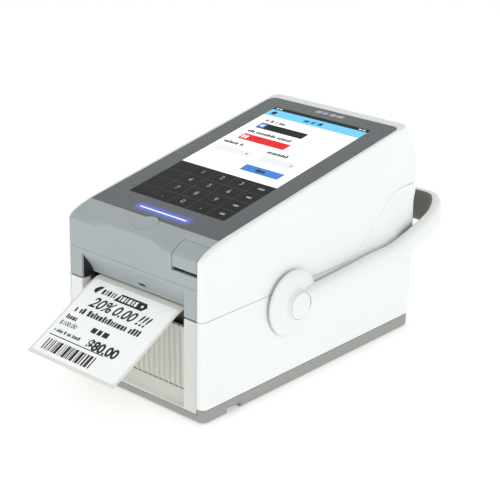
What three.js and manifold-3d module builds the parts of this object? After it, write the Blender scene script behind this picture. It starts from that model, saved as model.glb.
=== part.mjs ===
// Desktop label maker with a sloping touch screen and a swinging carrying handle.
// Millimetres. X to the right, Y to the rear, Z up; the feet stand on z = 0.
import * as THREE from "three";
import { mergeVertices } from "three/addons/utils/BufferGeometryUtils.js";
import Module from "manifold-3d";

const wasm = await Module();
wasm.setup();

// ---------- driving dimensions ----------
const HALF_WIDTH = 67.4; // half the case's width at the floor
const DRAFT = 0.0262; // the walls lean in by this much per millimetre of height
const FRONT_Y = -134.1; // front face at the floor
const WALL = 2.4;
const GAP = 0.3; // between pieces that sit against each other
const FOOT_TOP = 0.8; // underside of the base
const FRONT_CORNER = { rx: 3.6, ry: 5 }; // rounding of the upright front edges in plan
const REAR_CORNER = { rx: 6, ry: 6 };
const BAND_SIDE = 9.8; // top edge of the base band at the sides
const BAND_FRONT = 6; // and under the front panel
const SEAM_Z = 71.4; // lid seam over most of the case's length
const REAR_SEAM_Z = 111; // lid seam at the rear
const SEAM_GAP = 0.6;
const SLOPE = THREE.MathUtils.degToRad(10.3); // slope of the screen
const SLOPE_Y = -90.5; // front edge of the screen
const SLOPE_Z = 125;
const PANEL_HALF = 60.6; // front panel and grey nose, half the width
const HINGE = { y: 94.1, z: 109.6 }; // lid hinge axis
const CASE_KNUCKLES = [[-52, -40], [-26.8, 26.8], [40, 52]]; // the lower case's hinge barrels along X
const PIVOT = { y: -48.2, z: 60.7 }; // handle axis
const PLATEN = { y: -111, z: 63.9, r: 8, half: 44 };
const MOTOR = { y: -96, z: 30 };
const ROLL = { y: 8, z: 64, r: 45, core: 13.4, half: 42 };
const LATCH = { y: -100, z: 92 };
const CATCH = { y: -104.8, z: 67.4 }; // pins that the latch hooks reach under
const CHASSIS_X = 50; // middle of the chassis side plates
const GUIDE_BAR = { y: -84, z: 77 }; // the web turns over this bar
const GEAR_X = [-57.5, -52.5];
const GUIDE_PINION = { y: 8, r: 7, z: [10.4, 13.6] };
const LINER_HALF = 42;
const LABEL_HALF = 40;
const LINER_T = 0.3;
const GLASS = { half: 60.9, front: -21.3, rear: 167.5, t: 1.8 };
const BUTTON = { x: 0.5, v: -27.5, r: 8.5 }; // power button on the sloping top
const RELEASE = { x: [38.2, 60.3], rear: -120, low: 103.8, gap: 0.4, travel: 2 };
const SOCKET_Y = 88.6; // how far back the mouths of the connectors stand
const MOUTH_HALF = 49; // label mouth, half the width
const RIB_PITCH = 10;

// Case's rear wall: how far back it stands at each height.
const REAR = [
  [0, 85.8], [9, 86.8], [15, 88.5], [55, 92.1], [97, 92.9], [107, 95.9], [127, 95.5], [133, 93.8], [158, 80.8],
];

// ---------- materials ----------
const finish = (color, roughness, metalness = 0) => new THREE.MeshStandardMaterial({ color, roughness, metalness });
const WHITE = finish(0xf0f4f2, 0.45);
const GREY = finish(0xabb1b3, 0.5);
const BASE_GREY = finish(0xafb0aa, 0.55);
const GLASS_DARK = finish(0x6e757a, 0.15);
const DARK = finish(0x2c2d2f, 0.6);
const LINING = finish(0x6f6c66, 0.7);
const STEEL = finish(0xc2c5c8, 0.35, 1);
const BRASS = finish(0xb69a55, 0.35, 1);
const RUBBER = finish(0x26262a, 0.9);
const BOARD = finish(0x1f5a3a, 0.6);
const PAPER = finish(0xf7f8f6, 0.8);
const LINER_PAPER = finish(0xe9e4cf, 0.75);
const CARD = finish(0x9c7a52, 0.9);
const NYLON = finish(0xe4e0d4, 0.5);
const LIGHT = finish(0xdfe8ff, 0.3);

// ---------- geometry helpers ----------
// A closed geometry as a solid for cutting and joining.
function solid(geometry) {
  const bare = geometry.index ? geometry.toNonIndexed() : geometry.clone();
  bare.deleteAttribute("normal");
  bare.deleteAttribute("uv");
  const merged = mergeVertices(bare, 1e-4);
  return new wasm.Manifold(
    new wasm.Mesh({
      numProp: 3,
      vertProperties: merged.attributes.position.array,
      triVerts: new Uint32Array(merged.index.array),
    }),
  );
}

// A solid back to a geometry.
function geometryOf(manifold) {
  const mesh = manifold.getMesh();
  const geometry = new THREE.BufferGeometry();
  geometry.setAttribute("position", new THREE.BufferAttribute(mesh.vertProperties, 3));
  geometry.setIndex(new THREE.BufferAttribute(mesh.triVerts, 1));
  geometry.computeVertexNormals();
  return geometry;
}

const join = (...parts) => parts.reduce((whole, part) => whole.add(part));
const cut = (whole, ...parts) => parts.reduce((rest, part) => rest.subtract(part), whole);

const asShape = (outline) =>
  outline instanceof THREE.Shape ? outline : new THREE.Shape(outline.map(([a, b]) => new THREE.Vector2(a, b)));

function prism(outline, depth, segments) {
  return new THREE.ExtrudeGeometry(asShape(outline), { depth, bevelEnabled: false, curveSegments: segments });
}

// An outline in (y, z), carried along X from x0 to x1.
function alongX(outline, x0, x1, segments = 8) {
  const turn = new THREE.Matrix4().set(0, 0, 1, x0, 1, 0, 0, 0, 0, 1, 0, 0, 0, 0, 0, 1);
  return solid(prism(outline, x1 - x0, segments).applyMatrix4(turn));
}

// An outline in (x, y), carried up from z0 to z1.
function alongZ(outline, z0, z1, segments = 8) {
  return solid(prism(outline, z1 - z0, segments).translate(0, 0, z0));
}

function box(x0, x1, y0, y1, z0, z1) {
  const shape = new THREE.BoxGeometry(x1 - x0, y1 - y0, z1 - z0);
  return solid(shape.translate((x0 + x1) / 2, (y0 + y1) / 2, (z0 + z1) / 2));
}

// A round bar along X, centred on (y, z).
function barX(at, r, x0, x1, segments = 24) {
  const shape = new THREE.CylinderGeometry(r, r, x1 - x0, segments);
  shape.rotateZ(Math.PI / 2);
  return solid(shape.translate((x0 + x1) / 2, at.y, at.z));
}

// A round bar along Z, centred on (x, y).
function barZ(x, y, r, z0, z1, segments = 16) {
  const shape = new THREE.CylinderGeometry(r, r, z1 - z0, segments);
  shape.rotateX(Math.PI / 2);
  return solid(shape.translate(x, y, (z0 + z1) / 2));
}

// A round bar along Y, centred on (x, z).
function barY(x, z, r, y0, y1, segments = 20) {
  return solid(new THREE.CylinderGeometry(r, r, y1 - y0, segments).translate(x, (y0 + y1) / 2, z));
}

const tubeX = (at, outer, inner, x0, x1, segments = 24) =>
  cut(barX(at, outer, x0, x1, segments), barX(at, inner, x0 - 1, x1 + 1, segments));

// A skin through rings of equal length, listed from the bottom up, with flat ends.
function loft(rings) {
  const count = rings[0].length;
  const faces = [];
  rings.slice(1).forEach((ring, level) => {
    const low = level * count;
    for (let i = 0; i < count; i++) {
      const next = (i + 1) % count;
      faces.push(low + i, low + next, low + count + next);
      faces.push(low + i, low + count + next, low + count + i);
    }
  });
  const top = (rings.length - 1) * count;
  for (let i = 1; i < count - 1; i++) {
    faces.push(0, i + 1, i);
    faces.push(top, top + i, top + i + 1);
  }
  const geometry = new THREE.BufferGeometry();
  geometry.setAttribute("position", new THREE.Float32BufferAttribute(rings.flat(2), 3));
  geometry.setIndex(faces);
  return solid(geometry);
}

// A strip of even thickness that follows points (y, z), as an outline.
function ribbon(points, thickness) {
  const normal = (i) => {
    const [y0, z0] = points[Math.max(i - 1, 0)];
    const [y1, z1] = points[Math.min(i + 1, points.length - 1)];
    const length = Math.hypot(y1 - y0, z1 - z0);
    return [-(z1 - z0) / length, (y1 - y0) / length];
  };
  const side = (offset) => points.map(([y, z], i) => [y + normal(i)[0] * offset, z + normal(i)[1] * offset]);
  return [...side(thickness / 2), ...side(-thickness / 2).reverse()];
}

const smooth = (points, count) =>
  new THREE.SplineCurve(points.map(([y, z]) => new THREE.Vector2(y, z))).getPoints(count).map((p) => [p.x, p.y]);

// ---------- the assembly ----------
const labelMaker = new THREE.Group();
const slopeGroup = new THREE.Group(); // x across, y up the slope, z out of the screen
slopeGroup.position.set(0, SLOPE_Y, SLOPE_Z);
slopeGroup.rotation.x = SLOPE;
labelMaker.add(slopeGroup);

function put(name, manifold, material, group = labelMaker) {
  const mesh = new THREE.Mesh(geometryOf(manifold), material);
  mesh.name = name;
  group.add(mesh);
}

// A solid drawn in the slope's own frame, brought into the case's frame.
function fromSlope(manifold) {
  slopeGroup.updateMatrix();
  return solid(geometryOf(manifold).applyMatrix4(slopeGroup.matrix));
}

// ---------- case shape ----------
function rearY(z) {
  const i = Math.max(REAR.findIndex(([height]) => height >= z), 1);
  const [z0, y0] = REAR[i - 1];
  const [z1, y1] = REAR[i];
  return y0 + ((y1 - y0) * (z - z0)) / (z1 - z0);
}

const topZ = (y) => SLOPE_Z + (y - SLOPE_Y) * Math.tan(SLOPE);

// The case's plan outline at height z, drawn in by inset on every side.
function planRing(z, inset) {
  const half = HALF_WIDTH - DRAFT * z - inset;
  const front = FRONT_Y + DRAFT * z + inset;
  const rear = rearY(z) - inset;
  const corners = [
    { x: half, y: front, ...FRONT_CORNER, from: 270, sx: 1, sy: -1 },
    { x: half, y: rear, ...REAR_CORNER, from: 0, sx: 1, sy: 1 },
    { x: -half, y: rear, ...REAR_CORNER, from: 90, sx: -1, sy: 1 },
    { x: -half, y: front, ...FRONT_CORNER, from: 180, sx: -1, sy: -1 },
  ];
  const steps = 4;
  return corners.flatMap(({ x, y, rx, ry, from, sx, sy }) => {
    const cx = x - sx * rx;
    const cy = y - sy * ry;
    return Array.from({ length: steps + 1 }, (_, i) => {
      const angle = THREE.MathUtils.degToRad(from + (90 * i) / steps);
      return [cx + rx * Math.cos(angle), cy + ry * Math.sin(angle), z];
    });
  });
}

// Everything under the nose and the sloping top, lowered by drop.
function underTop(drop) {
  return alongX(
    [
      [-160, -5], [110, -5], [110, topZ(110) - drop], [-111.5, topZ(-111.5) - drop],
      [-115.5, 119.7 - drop], [-124, 116.8 - drop], [-129.5, 113.8 - drop], [-131.4, 111 - drop], [-160, 111 - drop],
    ],
    -90,
    90,
  );
}

function caseSolid(inset) {
  const body = loft(REAR.map(([z]) => planRing(z, inset)));
  return body.intersect(underTop(inset / Math.cos(SLOPE)));
}

const outer = caseSolid(0);
const inner = caseSolid(WALL);
const shell = cut(outer, inner, box(-90, 90, -160, 110, -5, FOOT_TOP));

// The seam between the lower case and the lid, as the top edge of a prism.
function underSeam(offset) {
  const low = SEAM_Z + offset;
  const high = REAR_SEAM_Z + offset;
  const shape = new THREE.Shape();
  shape.moveTo(-170, -5);
  shape.lineTo(120, -5);
  shape.lineTo(120, high);
  shape.lineTo(77, high);
  shape.quadraticCurveTo(66.5, high - 0.4, 59.5, high - 6);
  shape.lineTo(27.5, low + 7.2);
  shape.quadraticCurveTo(18.5, low, 8, low);
  shape.lineTo(-170, low);
  return alongX(shape, -90, 90, 6);
}

// Everything under the band's top edge, which is lower under the front panel.
function underBand(offset) {
  const half = PANEL_HALF + 0.2;
  const belowPanel = box(-half, half, -160, -121, BAND_FRONT + offset, 90);
  return cut(box(-90, 90, -160, 120, -5, BAND_SIDE + offset), belowPanel);
}

const FEET = [
  ["front_left", -51, -112], ["front_right", 51, -112], ["rear_left", -51, 64], ["rear_right", 51, 64],
];
const SCREWS = [
  ["front_left", -61, -70], ["front_right", 61, -70], ["rear_left", -61, 44], ["rear_right", 61, 44],
];

// ---------- base, lower case and front panel ----------
function basePan() {
  const tray = cut(
    outer.intersect(underBand(0)),
    box(-90, 90, -160, 110, -5, FOOT_TOP),
    inner.intersect(box(-90, 90, -160, 110, 4, 20)),
  );
  const bosses = SCREWS.map(([, x, y]) => barZ(x, y, 4, 3.5, 8.6));
  const holes = SCREWS.flatMap(([, x, y]) => [barZ(x, y, 1.7, 0, 20), barZ(x, y, 3.3, 0, 4.6)]);
  const pockets = FEET.map(([, x, y]) => barZ(x, y, 7.2, 0, 2.6));
  const notches = [-1, 1].map((side) => box(side * 67 - 5, side * 67 + 5, -112, -98.5, 0, 4.4));
  const kept = tray.intersect(underBand(0));
  return cut(join(kept, ...bosses.map((boss) => boss.intersect(underBand(-0.3)))), ...holes, ...pockets, ...notches);
}

function lowerCase() {
  const walls = cut(shell.intersect(underSeam(-SEAM_GAP / 2)), underBand(0.15));
  const bosses = SCREWS.map(([, x, y]) => barZ(x, y, 4, BAND_SIDE + 0.3, 26).intersect(outer));
  const whole = join(walls, ...bosses);
  const knuckles = CASE_KNUCKLES.map(([x0, x1]) => barX(HINGE, 3.2, x0, x1));
  const webs = CASE_KNUCKLES.map(([x0, x1]) => box(x0, x1, HINGE.y - 4, HINGE.y, 100, 108));
  const relieved = cut(whole, barX(HINGE, 3.6, -80, 80));
  return cut(
    join(relieved, ...webs, ...knuckles),
    barX(HINGE, 1.56, -60, 60),
    box(-PANEL_HALF - 0.2, PANEL_HALF + 0.2, -150, -121, -5, 80),
    ...SCREWS.map(([, x, y]) => barZ(x, y, 1.6, 0, 20)),
    ...[-1, 1].map((side) => barX(PIVOT, 5.3, side * 66 - 8, side * 66 + 8)),
    box(-44, -32, 70, 100, 16, 28),
    box(-16, -3, 70, 100, 16, 29),
    box(12, 29, 70, 100, 16, 31),
  );
}

function frontPanel() {
  const slab = box(-PANEL_HALF, PANEL_HALF, -150, -121, BAND_FRONT + 0.3, SEAM_Z - 0.4);
  const skin = cut(outer, inner).intersect(slab);
  const block = outer.intersect(box(-51, 51, -140, -125.6, 8, 61.5));
  const cheeks = [-1, 1].map((side) => outer.intersect(box(side * 50 - 1, side * 50 + 1, -140, -125.6, 60, SEAM_Z - 0.4)));
  const hollow = new THREE.Shape();
  hollow.moveTo(-150, 7.6);
  hollow.lineTo(-133.1, 7.6);
  hollow.quadraticCurveTo(-128.6, 8.6, -127.6, 17);
  hollow.lineTo(-127.6, 90);
  hollow.lineTo(-150, 90);
  const recess = alongX(hollow, -MOUTH_HALF, MOUTH_HALF);
  const window = box(-MOUTH_HALF, MOUTH_HALF, -150, -110, 61.5, 90);
  const ribs = Array.from({ length: 9 }, (_, i) => {
    const x = (i - 4) * RIB_PITCH;
    return box(x - 0.5, x + 0.5, -128.5, -127, 16, 61.5);
  });
  return join(cut(join(skin, block, ...cheeks), recess, window), ...ribs);
}

put("base_pan", basePan(), BASE_GREY);
put("lower_case", lowerCase(), WHITE);
put("front_panel", frontPanel(), WHITE);
FEET.forEach(([place, x, y]) => put(`foot_${place}`, barZ(x, y, 6.9, 0, 2.3, 24), RUBBER));
SCREWS.forEach(([place, x, y]) => {
  put(`base_screw_${place}`, join(barZ(x, y, 2.9, 2.6, 4.3, 10), barZ(x, y, 1.3, 4.2, 17, 10)), STEEL);
});

// ---------- connectors and main board ----------
function mainBoard() {
  const chips = [[-20, -30, 14], [14, -20, 10], [-8, 14, 12], [30, 30, 8]];
  return join(
    box(-54, 54, -52, SOCKET_Y - 7, 5.4, 7),
    ...chips.map(([x, y, size]) => box(x, x + size, y, y + size, 6.9, 8.6)),
  );
}

put("main_board", mainBoard(), BOARD);
// A connector stands on the board and shows in the rear wall.
const connector = (x0, x1, top) =>
  join(box(x0, x1, SOCKET_Y - 15, SOCKET_Y, 16.5, top), box(x0, x1, SOCKET_Y - 15, SOCKET_Y - 5, 7.3, 17));
const hollowOf = (x0, x1, z0, z1) => box(x0, x1, SOCKET_Y - 12, SOCKET_Y + 4, z0, z1);
const inletPin = cut(barY(-38, 22, 3.2, SOCKET_Y - 10, SOCKET_Y + 4), barY(-38, 22, 1, SOCKET_Y - 16, SOCKET_Y + 4));
put("dc_inlet", cut(connector(-43, -33, 27.4), inletPin), DARK);
put("usb_port", cut(connector(-15, -4, 28), hollowOf(-13.8, -5.2, 18.5, 26.8)), STEEL);
put("lan_port", cut(connector(13, 28, 30), hollowOf(14.6, 26.4, 18, 28.4)), STEEL);

// ---------- chassis, drive and platen ----------
const IDLER_TEETH = 22;
const PLATEN_TEETH = 20;
const PINION_TEETH = 14;
const idler = (() => {
  const toPinion = (PINION_TEETH + IDLER_TEETH) / 2;
  const toPlaten = (PLATEN_TEETH + IDLER_TEETH) / 2;
  const span = Math.hypot(PLATEN.y - MOTOR.y, PLATEN.z - MOTOR.z);
  const along = (toPinion ** 2 - toPlaten ** 2 + span ** 2) / (2 * span);
  const aside = Math.sqrt(toPinion ** 2 - along ** 2);
  const [uy, uz] = [(PLATEN.y - MOTOR.y) / span, (PLATEN.z - MOTOR.z) / span];
  return { y: MOTOR.y + along * uy + aside * uz, z: MOTOR.z + along * uz - aside * uy };
})();

// The outline of a spur gear of module 1 with involute teeth, one of which points at the angle first.
function gearOutline(cx, cy, teeth, first) {
  const pitch = teeth / 2;
  const base = pitch * Math.cos(THREE.MathUtils.degToRad(20));
  const involute = (r) => {
    const t = Math.sqrt(Math.max((r / base) ** 2 - 1, 0));
    return t - Math.atan(t);
  };
  const halfTooth = Math.PI / (2 * teeth) - 0.12 / pitch / 2;
  const halfAngle = (r) => halfTooth + involute(pitch) - involute(Math.max(r, base));
  const root = pitch - 1.2;
  const flank = [Math.max(base, root + 0.3), pitch - 0.2, pitch + 0.4, pitch + 0.95];
  const outline = [];
  for (let tooth = 0; tooth < teeth; tooth++) {
    const middle = first + (2 * Math.PI * tooth) / teeth;
    const place = (r, angle) => outline.push([cx + r * Math.cos(middle + angle), cy + r * Math.sin(middle + angle)]);
    place(root, -halfAngle(root) - 0.02);
    flank.forEach((r) => place(r, -halfAngle(r)));
    [...flank].reverse().forEach((r) => place(r, halfAngle(r)));
    place(root, halfAngle(root) + 0.02);
  }
  return outline;
}

const gearX = (at, teeth, first, x0, x1) => alongX(gearOutline(at.y, at.z, teeth, first), x0, x1);

const angleTo = (from, to) => Math.atan2(to.z - from.z, to.y - from.y);
// The gears are set so that a tooth of one points at a gap of the next.
const pinionFirst = angleTo(MOTOR, idler);
const idlerFirst = angleTo(idler, MOTOR) + Math.PI / IDLER_TEETH;
const meshAtPlaten = angleTo(idler, PLATEN);
const idlerPhase = ((meshAtPlaten - idlerFirst) * IDLER_TEETH) / (2 * Math.PI);
const platenFirst = angleTo(PLATEN, idler) + ((idlerPhase + 0.5) * 2 * Math.PI) / PLATEN_TEETH;

function sidePlate(side) {
  const outline = [
    [-121.4, 10], [-66, 10], [-66, 60], [-77, 72], [-77, 82], [-90, 82], [-90, 71.2], [-121.4, 71.2],
  ];
  const x = side * CHASSIS_X;
  const plate = alongX(outline, x - 0.6, x + 0.6);
  const holes = [
    barX(PLATEN, 5.7, x - 5, x + 5),
    barX(GUIDE_BAR, 2.6, x - 5, x + 5),
    ...(side < 0 ? [barX(MOTOR, 11.3, x - 5, x + 5, 32), barX(idler, 2.1, x - 5, x + 5)] : []),
  ];
  const catchPin = barX(CATCH, 1.5, Math.min(side * 46.4, side * 50), Math.max(side * 46.4, side * 50), 12);
  return join(cut(plate, ...holes), catchPin);
}

put("chassis_left", sidePlate(-1), STEEL);
put("chassis_right", sidePlate(1), STEEL);
const bushAt = (x0, x1) => tubeX(PLATEN, 5.5, 3.06, x0, x1);
put("bearing_left", bushAt(-52, -48.2), BRASS);
put("bearing_right", bushAt(48.2, 52), BRASS);
put("platen_shaft", barX(PLATEN, 3, -58.4, 53.4), STEEL);
put("platen_roller", tubeX(PLATEN, PLATEN.r, 3.1, -PLATEN.half, PLATEN.half, 40), RUBBER);
put("platen_gear", cut(gearX(PLATEN, PLATEN_TEETH, platenFirst, ...GEAR_X), barX(PLATEN, 3.1, -60, -50)), NYLON);
put("idler_gear", cut(gearX(idler, IDLER_TEETH, idlerFirst, ...GEAR_X), barX(idler, 2.06, -60, -50)), NYLON);
put("idler_pin", join(barX(idler, 2, -58.6, -49.2, 16), barX(idler, 3.2, -51.8, -50.8, 16)), STEEL);
put("motor_pinion", join(gearX(MOTOR, PINION_TEETH, pinionFirst, ...GEAR_X), barX(MOTOR, 2.5, -52.6, -45.4)), BRASS);
put(
  "drive_motor",
  cut(
    join(
      alongX([[-113, 15], [-110.5, 12.5], [-81.5, 12.5], [-79, 15], [-79, 45], [-81.5, 47.5], [-110.5, 47.5], [-113, 45]], -49.1, -25),
      barX(MOTOR, 11, -51, -49, 32),
    ),
    barX(MOTOR, 2.6, -60, -45),
  ),
  DARK,
);
put("web_guide_bar", barX(GUIDE_BAR, 2.5, -51.6, 51.6, 16), STEEL);

function tearBar() {
  const teeth = Array.from({ length: 31 }, (_, i) => [-45 + 3 * i, i % 2 ? 70.6 : 71.7]);
  const outline = [[-46, 60], [46, 60], [46, 71], ...teeth.reverse(), [-46, 71]];
  const blade = prism(outline, 1, 1).rotateX(Math.PI / 2);
  return join(solid(blade.translate(0, -121.9, 0)), box(-46, 46, -122.9, -119.4, 58.8, 60.2));
}
put("tear_bar", tearBar(), STEEL);

put("sensor_rail", box(-49.1, 49.1, -93, -89, 60, 63), STEEL);
put("gap_sensor", cut(box(-6, 6, -95, -87, 57.6, 71.4), box(-9, 9, -93.2, -88.8, 59.8, 63.2)), DARK);

// ---------- media tray, guides and roll ----------
function mediaTray() {
  const slots = [-1, 1].map((side) => box(side * 50 - 7.6, side * 50 + 7.6, -12, 28, 10, 20));
  return cut(box(-54.8, 54.8, -60, 80, 14.9, 16.5), ...slots, box(-60, 60, 68, 90, 10, 20));
}
put("media_tray", mediaTray(), DARK);

// Each guide carries a rack that crosses the middle, one in front of the pinion and one behind it.
function mediaGuide(side) {
  const face = [Math.min(side * 42.5, side * 45), Math.max(side * 42.5, side * 45)];
  const outline = new THREE.Shape();
  outline.moveTo(-10, 10.5);
  outline.lineTo(26, 10.5);
  outline.lineTo(26, 40);
  outline.absarc(ROLL.y, ROLL.z + 6, 22, -0.6, Math.PI + 0.6, false);
  outline.lineTo(-10, 40);
  const hub = barX(ROLL, 11.3, Math.min(side * 34, side * 43), Math.max(side * 34, side * 43));
  const rackY = GUIDE_PINION.y + side * (GUIDE_PINION.r + 3.1);
  const arm = box(Math.min(side * 44.8, -side * 22), Math.max(side * 44.8, -side * 22), rackY - 1.9, rackY + 1.9, 10.5, 13.5);
  const teeth = Array.from({ length: 20 }, (_, i) => {
    const x = side * (i - 6) * Math.PI;
    const reach = -side;
    const root = rackY + reach * 1.8;
    const tip = rackY + reach * 3.9;
    const outlineTooth = [[x - 0.98, root], [x + 0.98, root], [x + 0.3, tip], [x - 0.3, tip]];
    return alongZ(reach > 0 ? outlineTooth : outlineTooth.reverse(), 10.5, 13.5);
  });
  return join(alongX(outline, ...face), hub, arm, ...teeth);
}
put("guide_left", mediaGuide(-1), DARK);
put("guide_right", mediaGuide(1), DARK);
const rollTube = tubeX(ROLL, ROLL.r, ROLL.core + 0.2, -ROLL.half, ROLL.half, 56);
put("media_roll", rollTube, LINER_PAPER);
put("roll_core", tubeX(ROLL, ROLL.core, ROLL.core - 1.5, -ROLL.half, ROLL.half, 32), CARD);
const PINION_GAP = Math.PI / 2 + Math.PI / (2 * GUIDE_PINION.r);
put(
  "guide_pinion",
  join(
    alongZ(gearOutline(0, GUIDE_PINION.y, 2 * GUIDE_PINION.r, PINION_GAP), ...GUIDE_PINION.z),
    barZ(0, GUIDE_PINION.y, 2, 8.9, 10.6),
  ),
  NYLON,
);

// ---------- label web ----------
const webInside = [[-9.8, 105.9], [-82.9, 74.37], [-83.8, 74.13], [-111, 72.2], [-119, 72.5]];
const webOutside = new THREE.CubicBezierCurve(
  new THREE.Vector2(-122.6, 72.9),
  new THREE.Vector2(-131, 72.6),
  new THREE.Vector2(-142, 63.5),
  new THREE.Vector2(-188.5, 38.5),
);
const tongue = webOutside.getPoints(14).map((p) => [p.x, p.y]);
const lifted = (points, up) => points.map(([y, z]) => [y - up * Math.sin(0.5), z + up * Math.cos(0.5)]);
put("liner_web", alongX(ribbon([...webInside, ...tongue], LINER_T), -LINER_HALF, LINER_HALF), LINER_PAPER);
put("printed_label", alongX(ribbon(lifted(tongue.slice(2, 14), 0.36), 0.2), -LABEL_HALF, LABEL_HALF), PAPER);

// ---------- lid ----------
const buttonHole = (r) => fromSlope(barZ(BUTTON.x, BUTTON.v, r, -20, 10, 40));
const ledSlot = (grow, low, high) => box(-20.8 - grow, 22.8 + grow, -13.1 - grow, -11.5 + grow, low, high);

function roundedPlate(half, front, rear, corner, w0, w1) {
  const shape = new THREE.Shape();
  shape.moveTo(-half, front);
  shape.lineTo(half, front);
  shape.lineTo(half, rear - corner);
  shape.absarc(half - corner, rear - corner, corner, 0, Math.PI / 2, false);
  shape.absarc(-half + corner, rear - corner, corner, Math.PI / 2, Math.PI, false);
  return alongZ(shape, w0, w1, 6);
}

function lidCover() {
  const thickTop = cut(outer, inner.intersect(underTop(5)));
  const body = cut(thickTop, underSeam(SEAM_GAP / 2));
  const nose = box(-PANEL_HALF - 0.2, PANEL_HALF + 0.2, -150, -111.3, 0, 200);
  const pocket = fromSlope(roundedPlate(GLASS.half + 0.2, -30, GLASS.rear + 0.3, 6, -2.1, 20));
  const window = fromSlope(box(-52, 52, -8, 160, -20, 20));
  const slot = fromSlope(ledSlot(0.3, -20, 20));
  const open = cut(body, nose, pocket, window, slot, buttonHole(9), barX(HINGE, 3.6, -80, 80));
  const knuckles = [-1, 1].flatMap((side) => {
    const x0 = side * 33.2 - 6;
    return [barX(HINGE, 3.2, x0, x0 + 12), box(x0, x0 + 12, HINGE.y - 3.5, HINGE.y - 0.1, 110, 117)];
  });
  return cut(join(open, ...knuckles), barX(HINGE, 1.56, -60, 60));
}

function frontBezel() {
  const region = box(-PANEL_HALF, PANEL_HALF, -150, -111.6, SEAM_Z + 0.4, 200);
  const skin = cut(outer, inner).intersect(region);
  const lip = [[-150, 93.5], [-130.4, 93.5], [-119.6, 77], [-119.6, 74.2], [-150, 74.2]];
  const back = outer.intersect(alongX(lip, -51, 51));
  const cheeks = [-1, 1].map((side) =>
    outer.intersect(box(side * 50 - 1, side * 50 + 1, -150, -119.6, SEAM_Z + 0.4, 93)),
  );
  const mouth = alongX([[-150, 90.5], [-131.2, 90.5], [-121.8, 75], [-121.8, 60], [-150, 60]], -MOUTH_HALF, MOUTH_HALF);
  const { x, rear, low, gap, travel } = RELEASE;
  const corner = box(x[0] - gap, 70, -150, rear + gap, low - travel - gap, 200);
  return cut(join(skin, back, ...cheeks), mouth, corner, buttonHole(8.9));
}

function releaseButton() {
  const cap = cut(outer, inner).intersect(box(...RELEASE.x, -150, RELEASE.rear, RELEASE.low, 200));
  return join(cap, box(44.5, 49.5, -126, -122, 97, 115.5));
}

function powerButton() {
  const dome = new THREE.LatheGeometry(
    [[0, -4], [BUTTON.r, -4], [BUTTON.r, 0.1], [BUTTON.r - 0.5, 0.5], [0, 0.8]].map(([r, h]) => new THREE.Vector2(r, h)),
    36,
  );
  dome.rotateX(Math.PI / 2).translate(BUTTON.x, BUTTON.v, 0);
  return fromSlope(join(solid(dome), barZ(BUTTON.x, BUTTON.v, 2, -7, -3.5)));
}

put("lid_cover", lidCover(), WHITE);
put("front_bezel", frontBezel(), GREY);
put("release_button", releaseButton(), GREY);
put("power_button", powerButton(), GREY);
[-1, 1].forEach((side) => {
  const name = side < 0 ? "hinge_pin_left" : "hinge_pin_right";
  put(name, barX(HINGE, 1.5, side * 39.8 - 12.4, side * 39.8 + 12.4, 24), STEEL);
});
put(
  "touch_glass",
  cut(
    roundedPlate(GLASS.half, GLASS.front, GLASS.rear, 5.8, -GLASS.t, 0),
    ledSlot(0.2, -5, 5),
    barZ(BUTTON.x, BUTTON.v, 9, -5, 5, 40),
  ),
  GLASS_DARK,
  slopeGroup,
);
put("led_light_bar", ledSlot(0, -5.6, -0.05), LIGHT, slopeGroup);
put("lcd_module", box(-50, 50, -5.5, 156, -8, -2.3), DARK, slopeGroup);
put(
  "display_board",
  join(box(-42, 42, 20, 130, -10.8, -9.2), box(-20, 4, 50, 74, -12.6, -10.7), box(16, 34, 100, 108, -14, -10.7)),
  BOARD,
  slopeGroup,
);

// ---------- print head and latch ----------
function spring(x, y, r, wire, z0, z1, turns) {
  class Coil extends THREE.Curve {
    getPoint(t, target = new THREE.Vector3()) {
      const angle = 2 * Math.PI * turns * t;
      return target.set(x + r * Math.cos(angle), y + r * Math.sin(angle), z0 + wire + (z1 - z0 - 2 * wire) * t);
    }
  }
  const section = new THREE.Shape();
  section.absarc(0, 0, wire, 0, 2 * Math.PI, false);
  const path = { extrudePath: new Coil(), steps: Math.round(turns * 8), curveSegments: 3, bevelEnabled: false };
  return solid(new THREE.ExtrudeGeometry(section, path));
}

function headCarrier() {
  const walls = [-1, 1].map((side) => box(side * 43 - 1, side * 43 + 1, -116, -95, 97, 112));
  return join(box(-44, 44, -117.5, -95, 97, 99), ...walls);
}

function printHead() {
  const fins = Array.from({ length: 9 }, (_, i) => box(-44, 44, -116.6 + i * 2, -115.8 + i * 2, 80.5, 84));
  const bar = alongX([[-117.6, 72.7], [-107, 72.7], [-99, 74.8], [-99, 80.6], [-117.6, 80.6]], -46, 46);
  return join(bar, ...fins);
}

function latchShaft() {
  const hook = [[-101, 92], [-98, 92], [-98, 62.8], [-101.6, 62.8], [-101.6, 65], [-101, 65.6]];
  const hooks = [-1, 1].map((side) => alongX(hook, side * 47.3 - 0.7, side * 47.3 + 0.7));
  const lever = alongX([[-125, 94.2], [-100, 92.4], [-100, 94], [-125, 96.6]], 45, 49);
  return join(barX(LATCH, 2.5, -48.6, 49, 20), ...hooks, lever);
}

put("head_carrier", headCarrier(), STEEL);
put("print_head", printHead(), STEEL);
put("head_spring_left", spring(-25, -107.5, 4, 0.5, 84.3, 96.8, 6), STEEL);
put("head_spring_right", spring(25, -107.5, 4, 0.5, 84.3, 96.8, 6), STEEL);
put("latch_shaft", latchShaft(), STEEL);

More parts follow.
